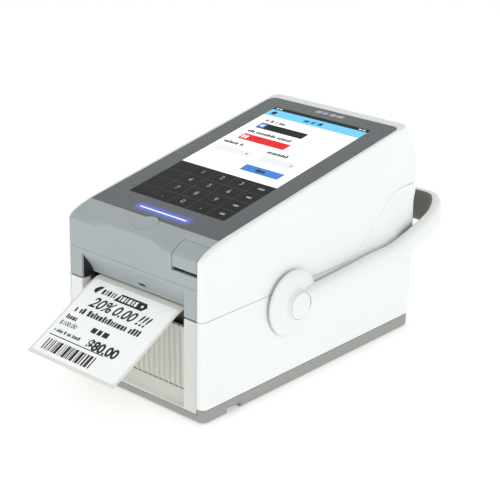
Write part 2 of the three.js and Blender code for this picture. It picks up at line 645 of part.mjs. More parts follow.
// ---------- handle ----------
const ARM_X = 71.9; // middle of the arms
const BAR_Y = 118; // middle of the crossbar
const BEND = 17.5;
const ARM_HALF = 8.8; // half the height of the arms, which grows towards the crossbar
const BAR_HALF = 11.6;
const heights = [[-50, 60.7], [-8, 62.2], [32, 64.9], [57, 65.8], [80, 71.6], [100, 78], [114, 84]];
const armHeight = new THREE.CubicInterpolant(heights.map(([y]) => y), heights.map(([, z]) => z), 1);
const armZ = (y) => armHeight.evaluate(Math.min(y, 114))[0];
const halfHeight = (y) => THREE.MathUtils.lerp(ARM_HALF, BAR_HALF, THREE.MathUtils.smoothstep(y, 92, 114));

// Stations along the handle: a point in plan and the way out from the case.
function handleStations(first) {
  const stations = [];
  const arm = Array.from({ length: 15 }, (_, i) => THREE.MathUtils.lerp(PIVOT.y, BAR_Y - BEND, i / 14));
  arm.filter((y) => y >= first).forEach((y) => stations.push({ x: ARM_X, y, nx: 1, ny: 0 }));
  for (let i = 1; i <= 8; i++) {
    const angle = (i / 8) * (Math.PI / 2);
    const [c, s] = [Math.cos(angle), Math.sin(angle)];
    stations.push({ x: ARM_X - BEND + BEND * c, y: BAR_Y - BEND + BEND * s, nx: c, ny: s });
  }
  const mirrored = [...stations].reverse().map(({ x, y, nx, ny }) => ({ x: -x, y, nx: -nx, ny }));
  return [...stations, ...mirrored];
}

// The handle's section swept along the stations: n0 and n1 are how far it reaches in and out, and
// drop is how much lower it is than the handle's outline above and below.
function handleSweep(n0, n1, drop, first) {
  const middle = (n0 + n1) / 2;
  const reach = (n1 - n0) / 2;
  const rings = handleStations(first).map(({ x, y, nx, ny }) => {
    return Array.from({ length: 12 }, (_, i) => {
      const angle = (-2 * Math.PI * i) / 12;
      const soft = (v, power) => Math.sign(v) * Math.abs(v) ** power;
      const n = middle + reach * soft(Math.cos(angle), 0.75);
      const h = (halfHeight(y) - drop) * soft(Math.sin(angle), 0.85);
      return [x + nx * n, y + ny * n, armZ(y) + h];
    });
  });
  return loft(rings);
}

// A turned shape about an axis along X: radius and distance out, on the given side.
function turned(profile, side) {
  const lathe = new THREE.LatheGeometry(profile.map(([r, h]) => new THREE.Vector2(r, h)), 28);
  lathe.rotateZ(-Math.PI / 2 * side);
  return solid(lathe.translate(0, PIVOT.y, PIVOT.z));
}

function handleBail() {
  const discs = [-1, 1].map((side) =>
    turned([[0, 67.4], [22.6, 67.4], [23.5, 68.1], [23.5, 68.9], [21.7, 70.2], [17, 71.6], [11, 72.6], [0, 72.8]], side),
  );
  const eyes = [-1, 1].map((side) => turned([[0, 68], [10.6, 68], [10.6, 74.5], [9.9, 75.7], [0, 75.9]], side));
  const bores = [-1, 1].map((side) => turned([[0, 60], [5.06, 60], [5.06, 73.5], [9.9, 73.5], [9.9, 80], [0, 80]], side));
  return cut(join(handleSweep(-4.6, 4.8, 0, -60), ...discs, ...eyes), handleSweep(-9.5, 0.3, 0.9, 88), ...bores);
}

put("handle_bail", handleBail(), WHITE);
put("handle_lining", handleSweep(-5.4, -0.3, 2.2, 92), LINING);
[-1, 1].forEach((side) => {
  const place = side < 0 ? "left" : "right";
  put(`pivot_cap_${place}`, turned([[0, 73.8], [9.6, 73.8], [9.6, 75.9], [8.8, 76.5], [0, 76.8]], side), WHITE);
  put(`pivot_stud_${place}`, turned([[0, 60.2], [9, 60.2], [9, 62.5], [5, 62.5], [5, 73.3], [0, 73.3]], side), STEEL);
});

// ---------- the frame: middle of the footprint on the floor ----------
labelMaker.updateMatrixWorld(true);
const bounds = new THREE.Box3().setFromObject(labelMaker, true);
labelMaker.position.y = -(bounds.min.y + bounds.max.y) / 2;
labelMaker.updateMatrixWorld(true);

export default labelMaker;
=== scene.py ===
"""Looks of a desktop label maker with a sloping touch screen and a swinging carrying handle.

Shapes are drawn in millimetres in the case's own frame: X to the right, Y to the rear, Z up, with
the feet on z = 0.  place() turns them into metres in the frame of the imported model.
"""
import math
import random

import bmesh
import bpy
from mathutils import Matrix, Vector


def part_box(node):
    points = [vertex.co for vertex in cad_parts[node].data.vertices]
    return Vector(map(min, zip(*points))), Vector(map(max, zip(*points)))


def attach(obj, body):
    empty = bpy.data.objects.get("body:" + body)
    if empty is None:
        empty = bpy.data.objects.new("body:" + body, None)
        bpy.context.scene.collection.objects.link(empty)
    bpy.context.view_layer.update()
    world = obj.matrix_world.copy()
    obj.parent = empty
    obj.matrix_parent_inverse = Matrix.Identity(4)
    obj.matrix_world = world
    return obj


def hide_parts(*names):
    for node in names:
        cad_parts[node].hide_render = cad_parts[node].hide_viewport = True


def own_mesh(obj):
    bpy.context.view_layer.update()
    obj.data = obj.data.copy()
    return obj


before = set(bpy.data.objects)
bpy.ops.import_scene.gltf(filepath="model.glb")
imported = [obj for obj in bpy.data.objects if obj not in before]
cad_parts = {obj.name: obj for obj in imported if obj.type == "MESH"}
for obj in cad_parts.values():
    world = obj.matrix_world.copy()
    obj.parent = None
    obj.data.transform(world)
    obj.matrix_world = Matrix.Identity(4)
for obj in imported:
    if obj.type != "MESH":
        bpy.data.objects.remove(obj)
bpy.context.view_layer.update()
random.seed(7)

MM = 0.001
PLATEN_Y = -111.0  # the platen's place in the case's own frame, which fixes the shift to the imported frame


def middle(node):
    low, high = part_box(node)
    return (low + high) / 2


SHIFT_Y = middle("platen_roller").y / MM - PLATEN_Y


def place(point):
    """Takes a point of the case frame, in millimetres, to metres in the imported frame."""
    return Vector((point[0] * MM, (point[1] + SHIFT_Y) * MM, point[2] * MM))


def case_box(node):
    """The lowest and highest corner of a CAD node, in millimetres in the case frame."""
    return [Vector((p.x / MM, p.y / MM - SHIFT_Y, p.z / MM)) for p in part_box(node)]


def case_middle(node):
    low, high = case_box(node)
    return (low + high) / 2


# ---------- driving dimensions ----------
DRAFT = 0.0262  # the walls lean in by this much per millimetre of height
WALL = 2.4
JOINT = 0.3  # clearance between neighbouring pieces
BASE_LOW, BASE_HIGH = case_box("base_pan")
HALF_WIDTH = BASE_HIGH.x + DRAFT * BASE_LOW.z
FRONT_Y = BASE_LOW.y - DRAFT * BASE_LOW.z
CORNER_X, CORNER_Y = 3.6, 5.0  # radii of the upright front edges in plan
REAR_CORNER = 6.0
SEAM_Z, REAR_SEAM_Z = 71.4, 111.0
SEAM_GAP = 0.34
SLOPE = math.radians(10.3)
SLOPE_Y, SLOPE_Z = -90.5, 125.0  # where the lit screen starts
PANEL_HALF = case_box("front_bezel")[1].x
SIDE_INNER = PANEL_HALF + JOINT  # inner face of the white side walls beside the bezel
BEZEL_REAR = case_box("front_bezel")[1].y
HINGE = case_middle("hinge_pin_left")
PIVOT = case_middle("pivot_cap_right")
GLASS_HALF = case_box("touch_glass")[1].x
GLASS_FRONT, GLASS_REAR, GLASS_CORNER, GLASS_T = -21.3, 167.5, 5.8, 1.8
MOUTH_HALF = 49.0
BAND_SIDE, BAND_FRONT = 9.8, 6.0  # top of the base band at the sides and under the front panel
SHELL_LOW = BAND_SIDE + JOINT  # foot of the white case
AHEAD = -150.0  # well in front of the case, for cutters
LED_LOW, LED_HIGH = case_box("led_light_bar")
LED_V = -12.3  # middle of the light bar, up the slope
LED_HALF, LED_SLOT = 0.45, 0.52  # half the height of the bar and of its slot
REAR = [(0, 85.8), (9, 86.8), (15, 88.5), (55, 92.1), (97, 92.9), (107, 95.9), (127, 95.5), (133, 93.8),
        (158, 80.8)]  # the rear wall as (height, y)


FEET = ("front_left", "front_right", "rear_left", "rear_right")
SIDES = ((-1, "left"), (1, "right"))


# ---------- shape of the case ----------
def along(table, at):
    """Straight-line interpolation in a list of (place, value)."""
    for (a, u), (b, v) in zip(table, table[1:]):
        if at <= b or (b, v) == table[-1]:
            return u + (v - u) * (at - a) / (b - a)


def rear_y(z):
    """The rear wall at a height, with its bends softened."""
    reach = 3.0
    return sum(along(REAR, z + reach * k / 4) for k in range(-4, 5)) / 9


def half_width(z):
    return HALF_WIDTH - DRAFT * z


def front_y(z):
    return FRONT_Y + DRAFT * z


def smoothstep(edge0, edge1, x):
    t = min(max((x - edge0) / (edge1 - edge0), 0.0), 1.0)
    return t * t * (3 - 2 * t)


def lerp(a, b, t):
    return a + (b - a) * t


def spread(first, last, steps, start=0):
    """Even steps from first to last, beginning with step number start."""
    return [lerp(first, last, i / steps) for i in range(start, steps + 1)]


def plane_z(y):
    """Height of the sloping top."""
    return SLOPE_Z + (y - SLOPE_Y) * math.tan(SLOPE)


NOSE_Y = -111.5  # the nose starts to fall away here
NOSE_FALL = 5.4
NOSE_EDGE_Z = 112.0  # about where the nose meets the front face


def top_z(y, tongue=0.0):
    """Height of the top: the slope, and in front of it the nose, which falls away beside the tongue."""
    if y >= NOSE_Y:
        return plane_z(y)
    t = (NOSE_Y - y) / (NOSE_Y - front_y(NOSE_EDGE_Z))
    fall = NOSE_FALL * (0.35 * t + 0.05 * t * t + 0.6 * t ** 5)
    return plane_z(y) - fall * (1 - tongue)


RISE_START = [(8, SEAM_Z), (18.5, SEAM_Z), (27.5, SEAM_Z + 7.2)]
RISE_END = [(59.5, REAR_SEAM_Z - 6), (66.5, REAR_SEAM_Z - 0.4), (77, REAR_SEAM_Z)]


def bend_height(first, control, last, y):
    """Height at y on a quadratic curve through points (y, height)."""
    square = first[0] - 2 * control[0] + last[0]
    linear = 2 * (control[0] - first[0])
    t = (math.sqrt(linear ** 2 - 4 * square * (first[0] - y)) - linear) / (2 * square)
    return (1 - t) ** 2 * first[1] + 2 * t * (1 - t) * control[1] + t * t * last[1]


def seam_z(y):
    """Height of the seam between the lower case and the lid, which climbs towards the rear."""
    if y <= RISE_START[0][0]:
        return SEAM_Z
    if y >= RISE_END[2][0]:
        return REAR_SEAM_Z
    if y < RISE_START[2][0]:
        return bend_height(*RISE_START, y)
    if y > RISE_END[0][0]:
        return bend_height(*RISE_END, y)
    return along([RISE_START[2], RISE_END[0]], y)


def round_corner(x, y, radius, t):
    """A point on the quarter round, from the side to the rear, that replaces the corner at (x, y)."""
    angle = t * math.pi / 2
    return x - radius + radius * math.cos(angle), y - radius + radius * math.sin(angle)


def plan_point(station, z, inset=0.0):
    """A point on the case's plan outline. A station is (stretch, how far along it, side)."""
    stretch, t, side = station
    half = half_width(z) - inset
    front = front_y(z) + inset
    rear = rear_y(z) - inset
    if stretch == "front":  # from the bezel's side round the front corner
        end = math.acos(min(max((SIDE_INNER + 0.05 - half_width(z) + CORNER_X) / CORNER_X, -1), 1))
        angle = end * (1 - t)
        x = half - CORNER_X + CORNER_X * math.cos(angle)
        y = front + CORNER_Y - CORNER_Y * math.sin(min(angle, math.pi / 2))
        x = max(x, SIDE_INNER - 0.05 * inset)
    elif stretch == "nose":  # across the front, only on the base
        x = (half - CORNER_X) * t
        y = front
    elif stretch == "corner":
        angle = t * math.pi / 2
        x = half - CORNER_X + CORNER_X * math.sin(angle)
        y = front + CORNER_Y - CORNER_Y * math.cos(angle)
    elif stretch == "side":
        x = half
        y = lerp(front + CORNER_Y, rear - REAR_CORNER, t)
    elif stretch == "turn":
        x, y = round_corner(half, rear, REAR_CORNER, t)
    else:  # "rear", from the corner to the middle
        x = (half - REAR_CORNER) * (1 - t)
        y = rear
    return side * x, y


def run(stretch, steps, side, start=0):
    return [(stretch, i / steps, side) for i in range(start, steps + 1)]


def mirrored(stations):
    return [(stretch, t, -side) for stretch, t, side in reversed(stations)]


HALF_ROUND = run("front", 18, 1) + run("side", 90, 1, 1) + run("turn", 12, 1, 1) + run("rear", 12, 1, 1)
OPEN_ROUND = HALF_ROUND + mirrored(HALF_ROUND)[1:]  # from the bezel's right side round to its left side
BASE_HALF = run("nose", 12, 1) + run("corner", 12, 1, 1) + run("side", 60, 1, 1) + run("turn", 12, 1, 1)
BASE_HALF += run("rear", 12, 1, 1)
CLOSED_ROUND = BASE_HALF + mirrored(BASE_HALF)[1:-1]


def height_at(station, height_of, first, inset=0.0):
    """Where the wall at a station meets a height that is given as a function of y."""
    z = first
    for _ in range(12):
        z = height_of(plan_point(station, z, inset)[1])
    return z


# ---------- meshes ----------
def loft(rings, closed=False):
    """A skin over rings of equal length. An open loft gets flat end caps; a closed one joins up."""
    count = len(rings[0])
    points = [p for ring in rings for p in ring]
    faces = []
    turns = len(rings) if closed else len(rings) - 1
    for level in range(turns):
        a, b = level * count, ((level + 1) % len(rings)) * count
        for i in range(count):
            j = (i + 1) % count
            faces.append((a + i, a + j, b + j, b + i))
    if not closed:
        faces.append(tuple(range(count))[::-1])
        last = (len(rings) - 1) * count
        faces.append(tuple(range(last, last + count)))
    return points, faces


def joined(parts):
    points, faces = [], []
    for part_points, part_faces in parts:
        start = len(points)
        points += part_points
        faces += [tuple(start + i for i in face) for face in part_faces]
    return points, faces


def added(name, data):
    """A new object in the scene."""
    thing = bpy.data.objects.new(name, data)
    bpy.context.scene.collection.objects.link(thing)
    return thing


def mesh_object(name, part):
    """An object from (points, faces) in the case frame, with its faces turned outwards."""
    points, faces = part
    mesh = bpy.data.meshes.new(name)
    mesh.from_pydata([place(p) for p in points], [], faces)
    bm = bmesh.new()
    bm.from_mesh(mesh)
    bmesh.ops.recalc_face_normals(bm, faces=bm.faces)
    bm.to_mesh(mesh)
    bm.free()
    return added(name, mesh)


def baked(thing):
    """Applies an object's modifiers."""
    graph = bpy.context.evaluated_depsgraph_get()
    graph.update()
    mesh = bpy.data.meshes.new_from_object(thing.evaluated_get(graph))
    thing.modifiers.clear()
    thing.data = mesh


def boolean(thing, parts, operation):
    for part in parts:
        tool = mesh_object("tool", part)
        modifier = thing.modifiers.new("cut", "BOOLEAN")
        modifier.operation = operation
        modifier.solver = "MANIFOLD"
        modifier.object = tool
        baked(thing)
        bpy.data.objects.remove(tool)


def shade(thing, angle=34):
    """Smooth shading, broken at edges sharper than the angle."""
    bm = bmesh.new()
    bm.from_mesh(thing.data)
    bmesh.ops.remove_doubles(bm, verts=bm.verts, dist=1e-7)
    limit = math.radians(angle)
    for edge in bm.edges:
        edge.smooth = len(edge.link_faces) == 2 and edge.calc_face_angle(0) < limit
    for face in bm.faces:
        face.smooth = True
    bm.to_mesh(thing.data)
    bm.free()
    weighted = thing.modifiers.new("normals", "WEIGHTED_NORMAL")
    weighted.keep_sharp = True


def piece(name, part, material, body, replaced=(), cuts=(), adds=(), angle=34):
    """A finished piece: built, joined, cut, shaded, given its finish and put on its body."""
    thing = mesh_object(name, part)
    boolean(thing, adds, "UNION")
    boolean(thing, cuts, "DIFFERENCE")
    shade(thing, angle)
    thing.data.materials.clear()  # a join or a cut leaves an empty slot
    thing.data.materials.append(material)
    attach(thing, body)
    if replaced:
        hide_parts(*replaced)
    return thing


def from_slope(point):
    """A point (x, up the slope, out of the screen) in the case frame."""
    x, v, w = point
    c, s = math.cos(SLOPE), math.sin(SLOPE)
    return x, SLOPE_Y + v * c - w * s, SLOPE_Z + v * s + w * c


def on_slope(part):
    points, faces = part
    return [from_slope(p) for p in points], faces


def quarter(radius, steps=4):
    """(inset, drop) along a quarter round, from the wall to the top."""
    angles = [math.pi / 2 * i / steps for i in range(steps + 1)]
    return [(radius * (1 - math.cos(a)), radius * (1 - math.sin(a))) for a in angles]


def rounded_outline(x0, x1, y0, y1, radius, steps=8):
    """A rectangle with round corners, counterclockwise."""
    radii = radius if isinstance(radius, (list, tuple)) else [radius] * 4
    corners = [(x1, y0, -90, -1, 1), (x1, y1, 0, -1, -1), (x0, y1, 90, 1, -1), (x0, y0, 180, 1, 1)]
    outline = []
    for (x, y, start, sx, sy), r in zip(corners, radii):
        for i in range(steps + 1):
            a = math.radians(start + 90 * i / steps)
            outline.append((x + sx * r + r * math.cos(a), y + sy * r + r * math.sin(a)))
    return outline


def plate(x0, x1, y0, y1, z0, z1, corner, edge):
    """A flat plate with round corners and rounded upper and lower edges."""
    corner = max(corner, edge + 0.01)
    levels = [(inset, z0 + drop) for inset, drop in reversed(quarter(edge))]
    levels += [(inset, z1 - drop) for inset, drop in quarter(edge)]
    rings = []
    for inset, z in levels:
        outline = rounded_outline(x0 + inset, x1 - inset, y0 + inset, y1 - inset, corner - inset)
        rings.append([(x, y, z) for x, y in outline])
    return loft(rings)


def prism(outline, z0, z1):
    return loft([[(x, y, z) for x, y in outline] for z in (z0, z1)])


def box(x0, x1, y0, y1, z0, z1):
    return prism([(x0, y0), (x1, y0), (x1, y1), (x0, y1)], z0, z1)


def lathe_x(profile, at, side=1, steps=72):
    """A profile of (radius, distance out), from axis to axis, turned about an axis along X."""
    rings = []
    for i in range(steps):
        a = 2 * math.pi * i / steps
        c, s = math.cos(a), math.sin(a)
        rings.append([(side * h, at.y + r * c, at.z + r * s) for r, h in profile[1:-1]])
    points = [p for ring in rings for p in ring]
    count = len(profile) - 2
    faces = []
    for i in range(steps):
        j = (i + 1) % steps
        for k in range(count - 1):
            faces.append((i * count + k, i * count + k + 1, j * count + k + 1, j * count + k))
    first, last = len(points), len(points) + 1
    points += [(side * profile[0][1], at.y, at.z), (side * profile[-1][1], at.y, at.z)]
    for i in range(steps):
        j = (i + 1) % steps
        faces.append((first, i * count, j * count))
        faces.append((last, j * count + count - 1, i * count + count - 1))
    return points, faces


def bar_x(at, radius, x0, x1, steps=48):
    ends = [(0, x0), (radius, x0), (radius, x1), (0, x1)]
    return lathe_x(ends, at, 1, steps)


def turned_z(profile, x, y, steps=64):
    """A profile of (radius, height) turned about a vertical axis. It starts and ends on the axis."""
    points, faces = lathe_x(profile, Vector((0, 0, 0)), 1, steps)
    return [(x + q[1], y + q[2], q[0]) for q in points], faces


def post(radius, z0, z1, x, y, steps=64):
    """An upright cylinder."""
    return turned_z([(0, z0), (radius, z0), (radius, z1), (0, z1)], x, y, steps)


# ---------- materials ----------
def feed(made, socket, value):
    """Sets an input to a value, or links it to another node's output."""
    if isinstance(value, bpy.types.NodeSocket):
        made.node_tree.links.new(value, socket)
    else:
        socket.default_value = value


def new_node(made, kind, inputs=()):
    node = made.node_tree.nodes.new("ShaderNode" + kind)
    for key, value in dict(inputs).items():
        feed(made, node.inputs[key], value)
    return node


def new_material(name):
    made = bpy.data.materials.new(name)
    made.use_nodes = True
    return made


def finished(made, inputs):
    """Gives the material's shader its inputs."""
    shader = made.node_tree.nodes["Principled BSDF"]
    for key, value in inputs.items():
        feed(made, shader.inputs[key], value)
    return made


def coordinates(made, scale=(1, 1, 1), turn=(0, 0, 0)):
    """Object coordinates, stretched and turned."""
    where = new_node(made, "TexCoord").outputs["Object"]
    return new_node(made, "Mapping", {"Vector": where, "Scale": scale, "Rotation": turn}).outputs["Vector"]


def axes(made):
    """Object coordinates, split into X, Y and Z."""
    return new_node(made, "SeparateXYZ", {"Vector": new_node(made, "TexCoord").outputs["Object"]}).outputs


def noise(made, size, detail=2.0, where=None):
    """Noise whose features are about size millimetres across."""
    inputs = {"Scale": 1 / (size * MM), "Detail": detail, "Vector": where or coordinates(made)}
    return new_node(made, "TexNoise", inputs).outputs["Fac"]


def ranged(made, value, low, high, from_low=0.3, from_high=0.7):
    """A value moved to a new range. Most noise lies between 0.3 and 0.7."""
    inputs = {"Value": value, "From Min": from_low, "From Max": from_high, "To Min": low, "To Max": high}
    return new_node(made, "MapRange", inputs).outputs["Result"]


def mixed(made, value, first, second):
    """A colour between two, each a colour or a socket."""
    mix = new_node(made, "Mix")
    mix.data_type = "RGBA"
    feed(made, mix.inputs["Factor"], value)
    for socket, colour in ((mix.inputs[6], first), (mix.inputs[7], second)):
        feed(made, socket, (*colour, 1) if isinstance(colour, tuple) else colour)
    return mix.outputs[2]


def calculated(made, operation, first, second=0.0):
    node = new_node(made, "Math", {0: first, 1: second})
    node.operation = operation
    return node.outputs[0]


def bumped(made, *layers):
    """Bumps one after another, from (height socket, depth in millimetres, strength)."""
    last = None
    for height, depth, strength in layers:
        inputs = {"Height": height, "Distance": depth * MM, "Strength": strength}
        if last:
            inputs["Normal"] = last
        last = new_node(made, "Bump", inputs).outputs["Normal"]
    return last


def tinted(colour, factor):
    return tuple(min(channel * factor, 1.0) for channel in colour)


def plastic(name, colour, roughness, grain=0.35, depth=0.03, mottle=0.03, scatter=0.0):
    """Moulded plastic: a fine spark-eroded grain, slow changes of tone and faint handling marks."""
    made = new_material(name)
    slow = ranged(made, noise(made, 45, 3), 0, 1)
    base = mixed(made, slow, tinted(colour, 1 - mottle), tinted(colour, 1 + mottle))
    speck = ranged(made, noise(made, grain * 3, 1), 0, 1, 0.35, 0.65)
    wiped = noise(made, 12, 4, coordinates(made, (1, 0.35, 1), (0, 0, 0.4)))
    return finished(made, {
        "Base Color": mixed(made, speck, base, tinted(colour, 1 - mottle / 2)),
        "Roughness": ranged(made, wiped, roughness - 0.05, roughness + 0.06),
        "Normal": bumped(made, (noise(made, grain, 2), depth, 0.35), (noise(made, 30, 1), 0.12, 0.08)),
        "Subsurface Weight": scatter,
        "Subsurface Radius": (0.002, 0.0018, 0.0016),
        "IOR": 1.48,
    })


def metal(name, colour, roughness, line=(1, 1, 1), size=0.6):
    """Metal with drawn or turned lines: line is how the pattern is squeezed along each axis."""
    made = new_material(name)
    lines = noise(made, size, 3, coordinates(made, line))
    return finished(made, {
        "Base Color": mixed(made, ranged(made, lines, 0, 1), tinted(colour, 0.86), colour),
        "Roughness": ranged(made, noise(made, 9, 3), roughness - 0.08, roughness + 0.12),
        "Normal": bumped(made, (lines, 0.02, 0.3)),
        "Metallic": 1.0,
    })


def paper(name, colour, roughness, fibre, gloss, painted_glow=0.0):
    """Paper with fine fibres. The glow is painted light: emission in the paper's own colour that makes it
    read brighter.
    """
    made = new_material(name)
    fibres = noise(made, fibre, 4, coordinates(made, (1, 0.4, 1), (0, 0, 0.5)))
    slow = ranged(made, noise(made, 25, 2), 0, 1)
    base = mixed(made, slow, tinted(colour, 0.985), tinted(colour, 1.01))
    return finished(made, {
        "Base Color": mixed(made, ranged(made, fibres, 0, 0.6), base, tinted(colour, 0.965)),
        "Roughness": ranged(made, fibres, roughness - 0.06, roughness + 0.06),
        "Normal": bumped(made, (fibres, 0.02, 0.3)),
        "Coat Weight": gloss,
        "Coat Roughness": 0.3,
        "Emission Color": (*colour, 1),
        "Emission Strength": painted_glow,
    })


def lit(name, colour, strength):
    """A display or a light: a colour that also glows, under a glossy face."""
    made = new_material(name)
    cells = ranged(made, noise(made, 0.25, 1), 0, 0.5)
    tone = mixed(made, cells, tinted(colour, 1.0), tinted(colour, 0.96))
    return finished(made, {
        "Base Color": tone,
        "Emission Color": tone,
        "Emission Strength": strength,
        "Roughness": ranged(made, noise(made, 30, 3), 0.2, 0.3),
        "IOR": 1.14,
        "Coat Weight": 0.03,
        "Coat Roughness": 0.08,
    })


def stranded(name, colour, second, size, roughness):
    """Card or board: a pattern of two colours."""
    made = new_material(name)
    pattern = new_node(made, "TexVoronoi", {"Vector": coordinates(made), "Scale": 1 / (size * MM)})
    pattern.distance = "CHEBYCHEV"
    cells = ranged(made, pattern.outputs["Distance"], 0, 1, 0.25, 0.5)
    return finished(made, {
        "Base Color": mixed(made, cells, colour, second),
        "Roughness": ranged(made, noise(made, 3, 3), roughness - 0.08, roughness + 0.08),
        "Normal": bumped(made, (cells, 0.04, 0.4)),
    })


def glass_print(name, colour):
    """The screen's cover glass: dark grey print behind gloss, with the light bar's glow painted round it in
    blue colour and emission.
    """
    made = new_material(name)
    where = axes(made)
    half, centre = (LED_HIGH.x - LED_LOW.x) / 2 * MM, (LED_HIGH.x + LED_LOW.x) / 2 * MM
    aside = calculated(made, "ABSOLUTE", calculated(made, "SUBTRACT", where["X"], centre))
    beyond = calculated(made, "MAXIMUM", calculated(made, "SUBTRACT", aside, half), 0.0)
    level = calculated(made, "SUBTRACT", where["Y"], place(from_slope((0, LED_V, 0))).y)
    ahead = calculated(made, "DIVIDE", level, math.cos(SLOPE))
    ahead_square = calculated(made, "MULTIPLY", ahead, ahead)
    square = calculated(made, "ADD", calculated(made, "POWER", beyond, 2.0), ahead_square)
    reach = calculated(made, "SQRT", square)
    # painted light: the light bar's glow on the glass, fading with distance from the bar
    painted_led_glow = ranged(made, reach, 1.0, 0.0, 0.6 * MM, 6.5 * MM)
    painted_led_glow = calculated(made, "POWER", calculated(made, "MAXIMUM", painted_led_glow, 0.0), 1.6)
    speck = ranged(made, noise(made, 0.5, 2), 0, 1)
    base = mixed(made, speck, tinted(colour, 0.97), tinted(colour, 1.03))
    return finished(made, {
        "Base Color": mixed(made, painted_led_glow, base, (0.1, 0.12, 0.5)),
        "Emission Color": mixed(made, painted_led_glow, (0, 0, 0), (0.06, 0.075, 0.62)),
        "Emission Strength": 0.75,
        "Roughness": ranged(made, noise(made, 35, 4), 0.2, 0.3),
        "Normal": bumped(made, (noise(made, 14, 2), 0.01, 0.05)),
        "IOR": 1.35,
        "Coat Weight": 0.12,
        "Coat Roughness": 0.06,
    })


WHITE = plastic("white_plastic", (0.87, 0.9, 0.885), 0.4, 0.35, 0.02, 0.012, 0.06)
HANDLE_WHITE = plastic("handle_white", (0.84, 0.86, 0.845), 0.36, 0.3, 0.015, 0.012, 0.06)
PANEL_GREY = plastic("cool_grey", (0.395, 0.435, 0.448), 0.42, 0.35, 0.03, 0.02)
BASE_GREY = plastic("base_grey", (0.33, 0.33, 0.31), 0.5, 0.4, 0.04, 0.025)
LINING_BROWN = plastic("handle_lining", (0.17, 0.16, 0.142), 0.6, 0.5, 0.06, 0.05)
RUBBER = plastic("black_rubber", (0.022, 0.022, 0.024), 0.72, 0.6, 0.06, 0.15)
BLACK = plastic("black_plastic", (0.018, 0.018, 0.02), 0.42, 0.4, 0.04, 0.1)
NYLON = plastic("nylon", (0.72, 0.69, 0.6), 0.38, 0.6, 0.01, 0.03, 0.2)
INK = plastic("ink", (0.012, 0.012, 0.013), 0.45, 0.3, 0.005, 0.1)
GLASS = glass_print("screen_glass", (0.09, 0.103, 0.108))
STEEL = metal("zinc_steel", (0.66, 0.67, 0.68), 0.34)
TURNED_STEEL = metal("turned_steel", (0.7, 0.71, 0.72), 0.24, (6, 0.4, 0.4), 0.5)
ALUMINIUM = metal("aluminium", (0.74, 0.75, 0.76), 0.38, (0.15, 1, 1), 0.5)
BRASS = metal("brass", (0.72, 0.55, 0.25), 0.3, (6, 0.4, 0.4), 0.5)
LINER = paper("liner_paper", (0.88, 0.88, 0.8), 0.55, 0.8, 0.15)
# label paper with a painted glow that makes it read brighter
LABEL = paper("label_paper", (0.93, 0.945, 0.95), 0.6, 0.5, 0.1, 0.16)
CARD = stranded("core_card", (0.36, 0.25, 0.15), (0.3, 0.2, 0.11), 1.6, 0.8)
BOARD = stranded("circuit_board", (0.02, 0.13, 0.065), (0.03, 0.2, 0.1), 3.2, 0.35)
LIGHT = lit("light_bar", (0.6, 0.78, 1.0), 1.1)


def shaded_recess_plastic(name, colour, shade_colour, depth):
    """Moulded plastic with painted shade: a warmer, darker tone as the front falls back, and towards the
    right.
    """
    made = plastic(name, colour, 0.42, 0.35, 0.02, 0.012, 0.06)
    base = made.node_tree.nodes["Principled BSDF"].inputs["Base Color"].links[0].from_socket
    where = axes(made)
    lean = calculated(made, "MULTIPLY", where["Z"], DRAFT)
    wall = calculated(made, "ADD", lean, place((0, FRONT_Y, 0)).y)
    behind = calculated(made, "SUBTRACT", where["Y"], wall)
    # painted shade that deepens as the surface falls back behind the front face
    depth_shade = ranged(made, behind, 0, 1, 0.8 * MM, depth * MM)
    # painted shade that also darkens the panel towards the right
    beside = ranged(made, where["X"], 0, 0.55, 0.0, PANEL_HALF * MM)
    shaded = calculated(made, "MAXIMUM", depth_shade, beside)
    return finished(made, {"Base Color": mixed(made, shaded, base, shade_colour)})


# white plastic for the front panel, with the recess's shade painted into its colour
WHITE_WITH_RECESS_SHADE = shaded_recess_plastic("white_painted_recess_shade", (0.82, 0.84, 0.81), (0.56, 0.545, 0.49), 8.5)


# ---------- lower case ----------
EDGE = 0.4  # rounding of the shells' edges
RELIEF = 3.6  # clearance round the hinge axis


def seam_edge(y, up):
    """A shell's edge along the seam, clear of the hinge axis: up is 1 on the lid, -1 on the lower case."""
    pick = max if up > 0 else min
    z = seam_z(y) + up * SEAM_GAP / 2
    off = y - HINGE.y
    if abs(off) < RELIEF:
        return pick(z, HINGE.z + up * math.sqrt(RELIEF ** 2 - off ** 2))
    return pick(z, HINGE.z) if off > 0 else z


def wall_point(station, z, inset=0.0):
    return (*plan_point(station, z, inset), z)


def wall_rows(station, low, high, rows, inset=0.0):
    return [wall_point(station, z, inset) for z in spread(low, high, rows, 1)[:-1]]


def foot_edge(station, low):
    """The rounded lower edge of a wall, from the inside out."""
    round_part = [wall_point(station, low + drop, inset) for inset, drop in reversed(quarter(EDGE))]
    return [wall_point(station, low, WALL)] + round_part


def lower_ring(station):
    """The lower case's wall at a station: up the outside, over the edge and down the inside."""
    low, high = SHELL_LOW, height_at(station, lambda y: seam_edge(y, -1), SEAM_Z)
    ring = foot_edge(station, low) + wall_rows(station, low + EDGE, high - EDGE, 30)
    ring += [wall_point(station, high - drop, inset) for inset, drop in quarter(EDGE)]
    ring.append(wall_point(station, high, WALL))
    return ring + wall_rows(station, high, low, 10, WALL)


KNUCKLE_R, KNUCKLE_EDGE = 3.2, 0.4
KNUCKLE_WEB = (1.6, 8.0)  # a knuckle's web, measured up or down from the hinge axis


def barrel(x0, x1):
    """A hinge barrel with chamfered ends."""
    shoulder = KNUCKLE_R - KNUCKLE_EDGE
    profile = [(0, x0), (shoulder, x0), (KNUCKLE_R, x0 + KNUCKLE_EDGE), (KNUCKLE_R, x1 - KNUCKLE_EDGE)]
    return lathe_x(profile + [(shoulder, x1), (0, x1)], HINGE, 1, 40)


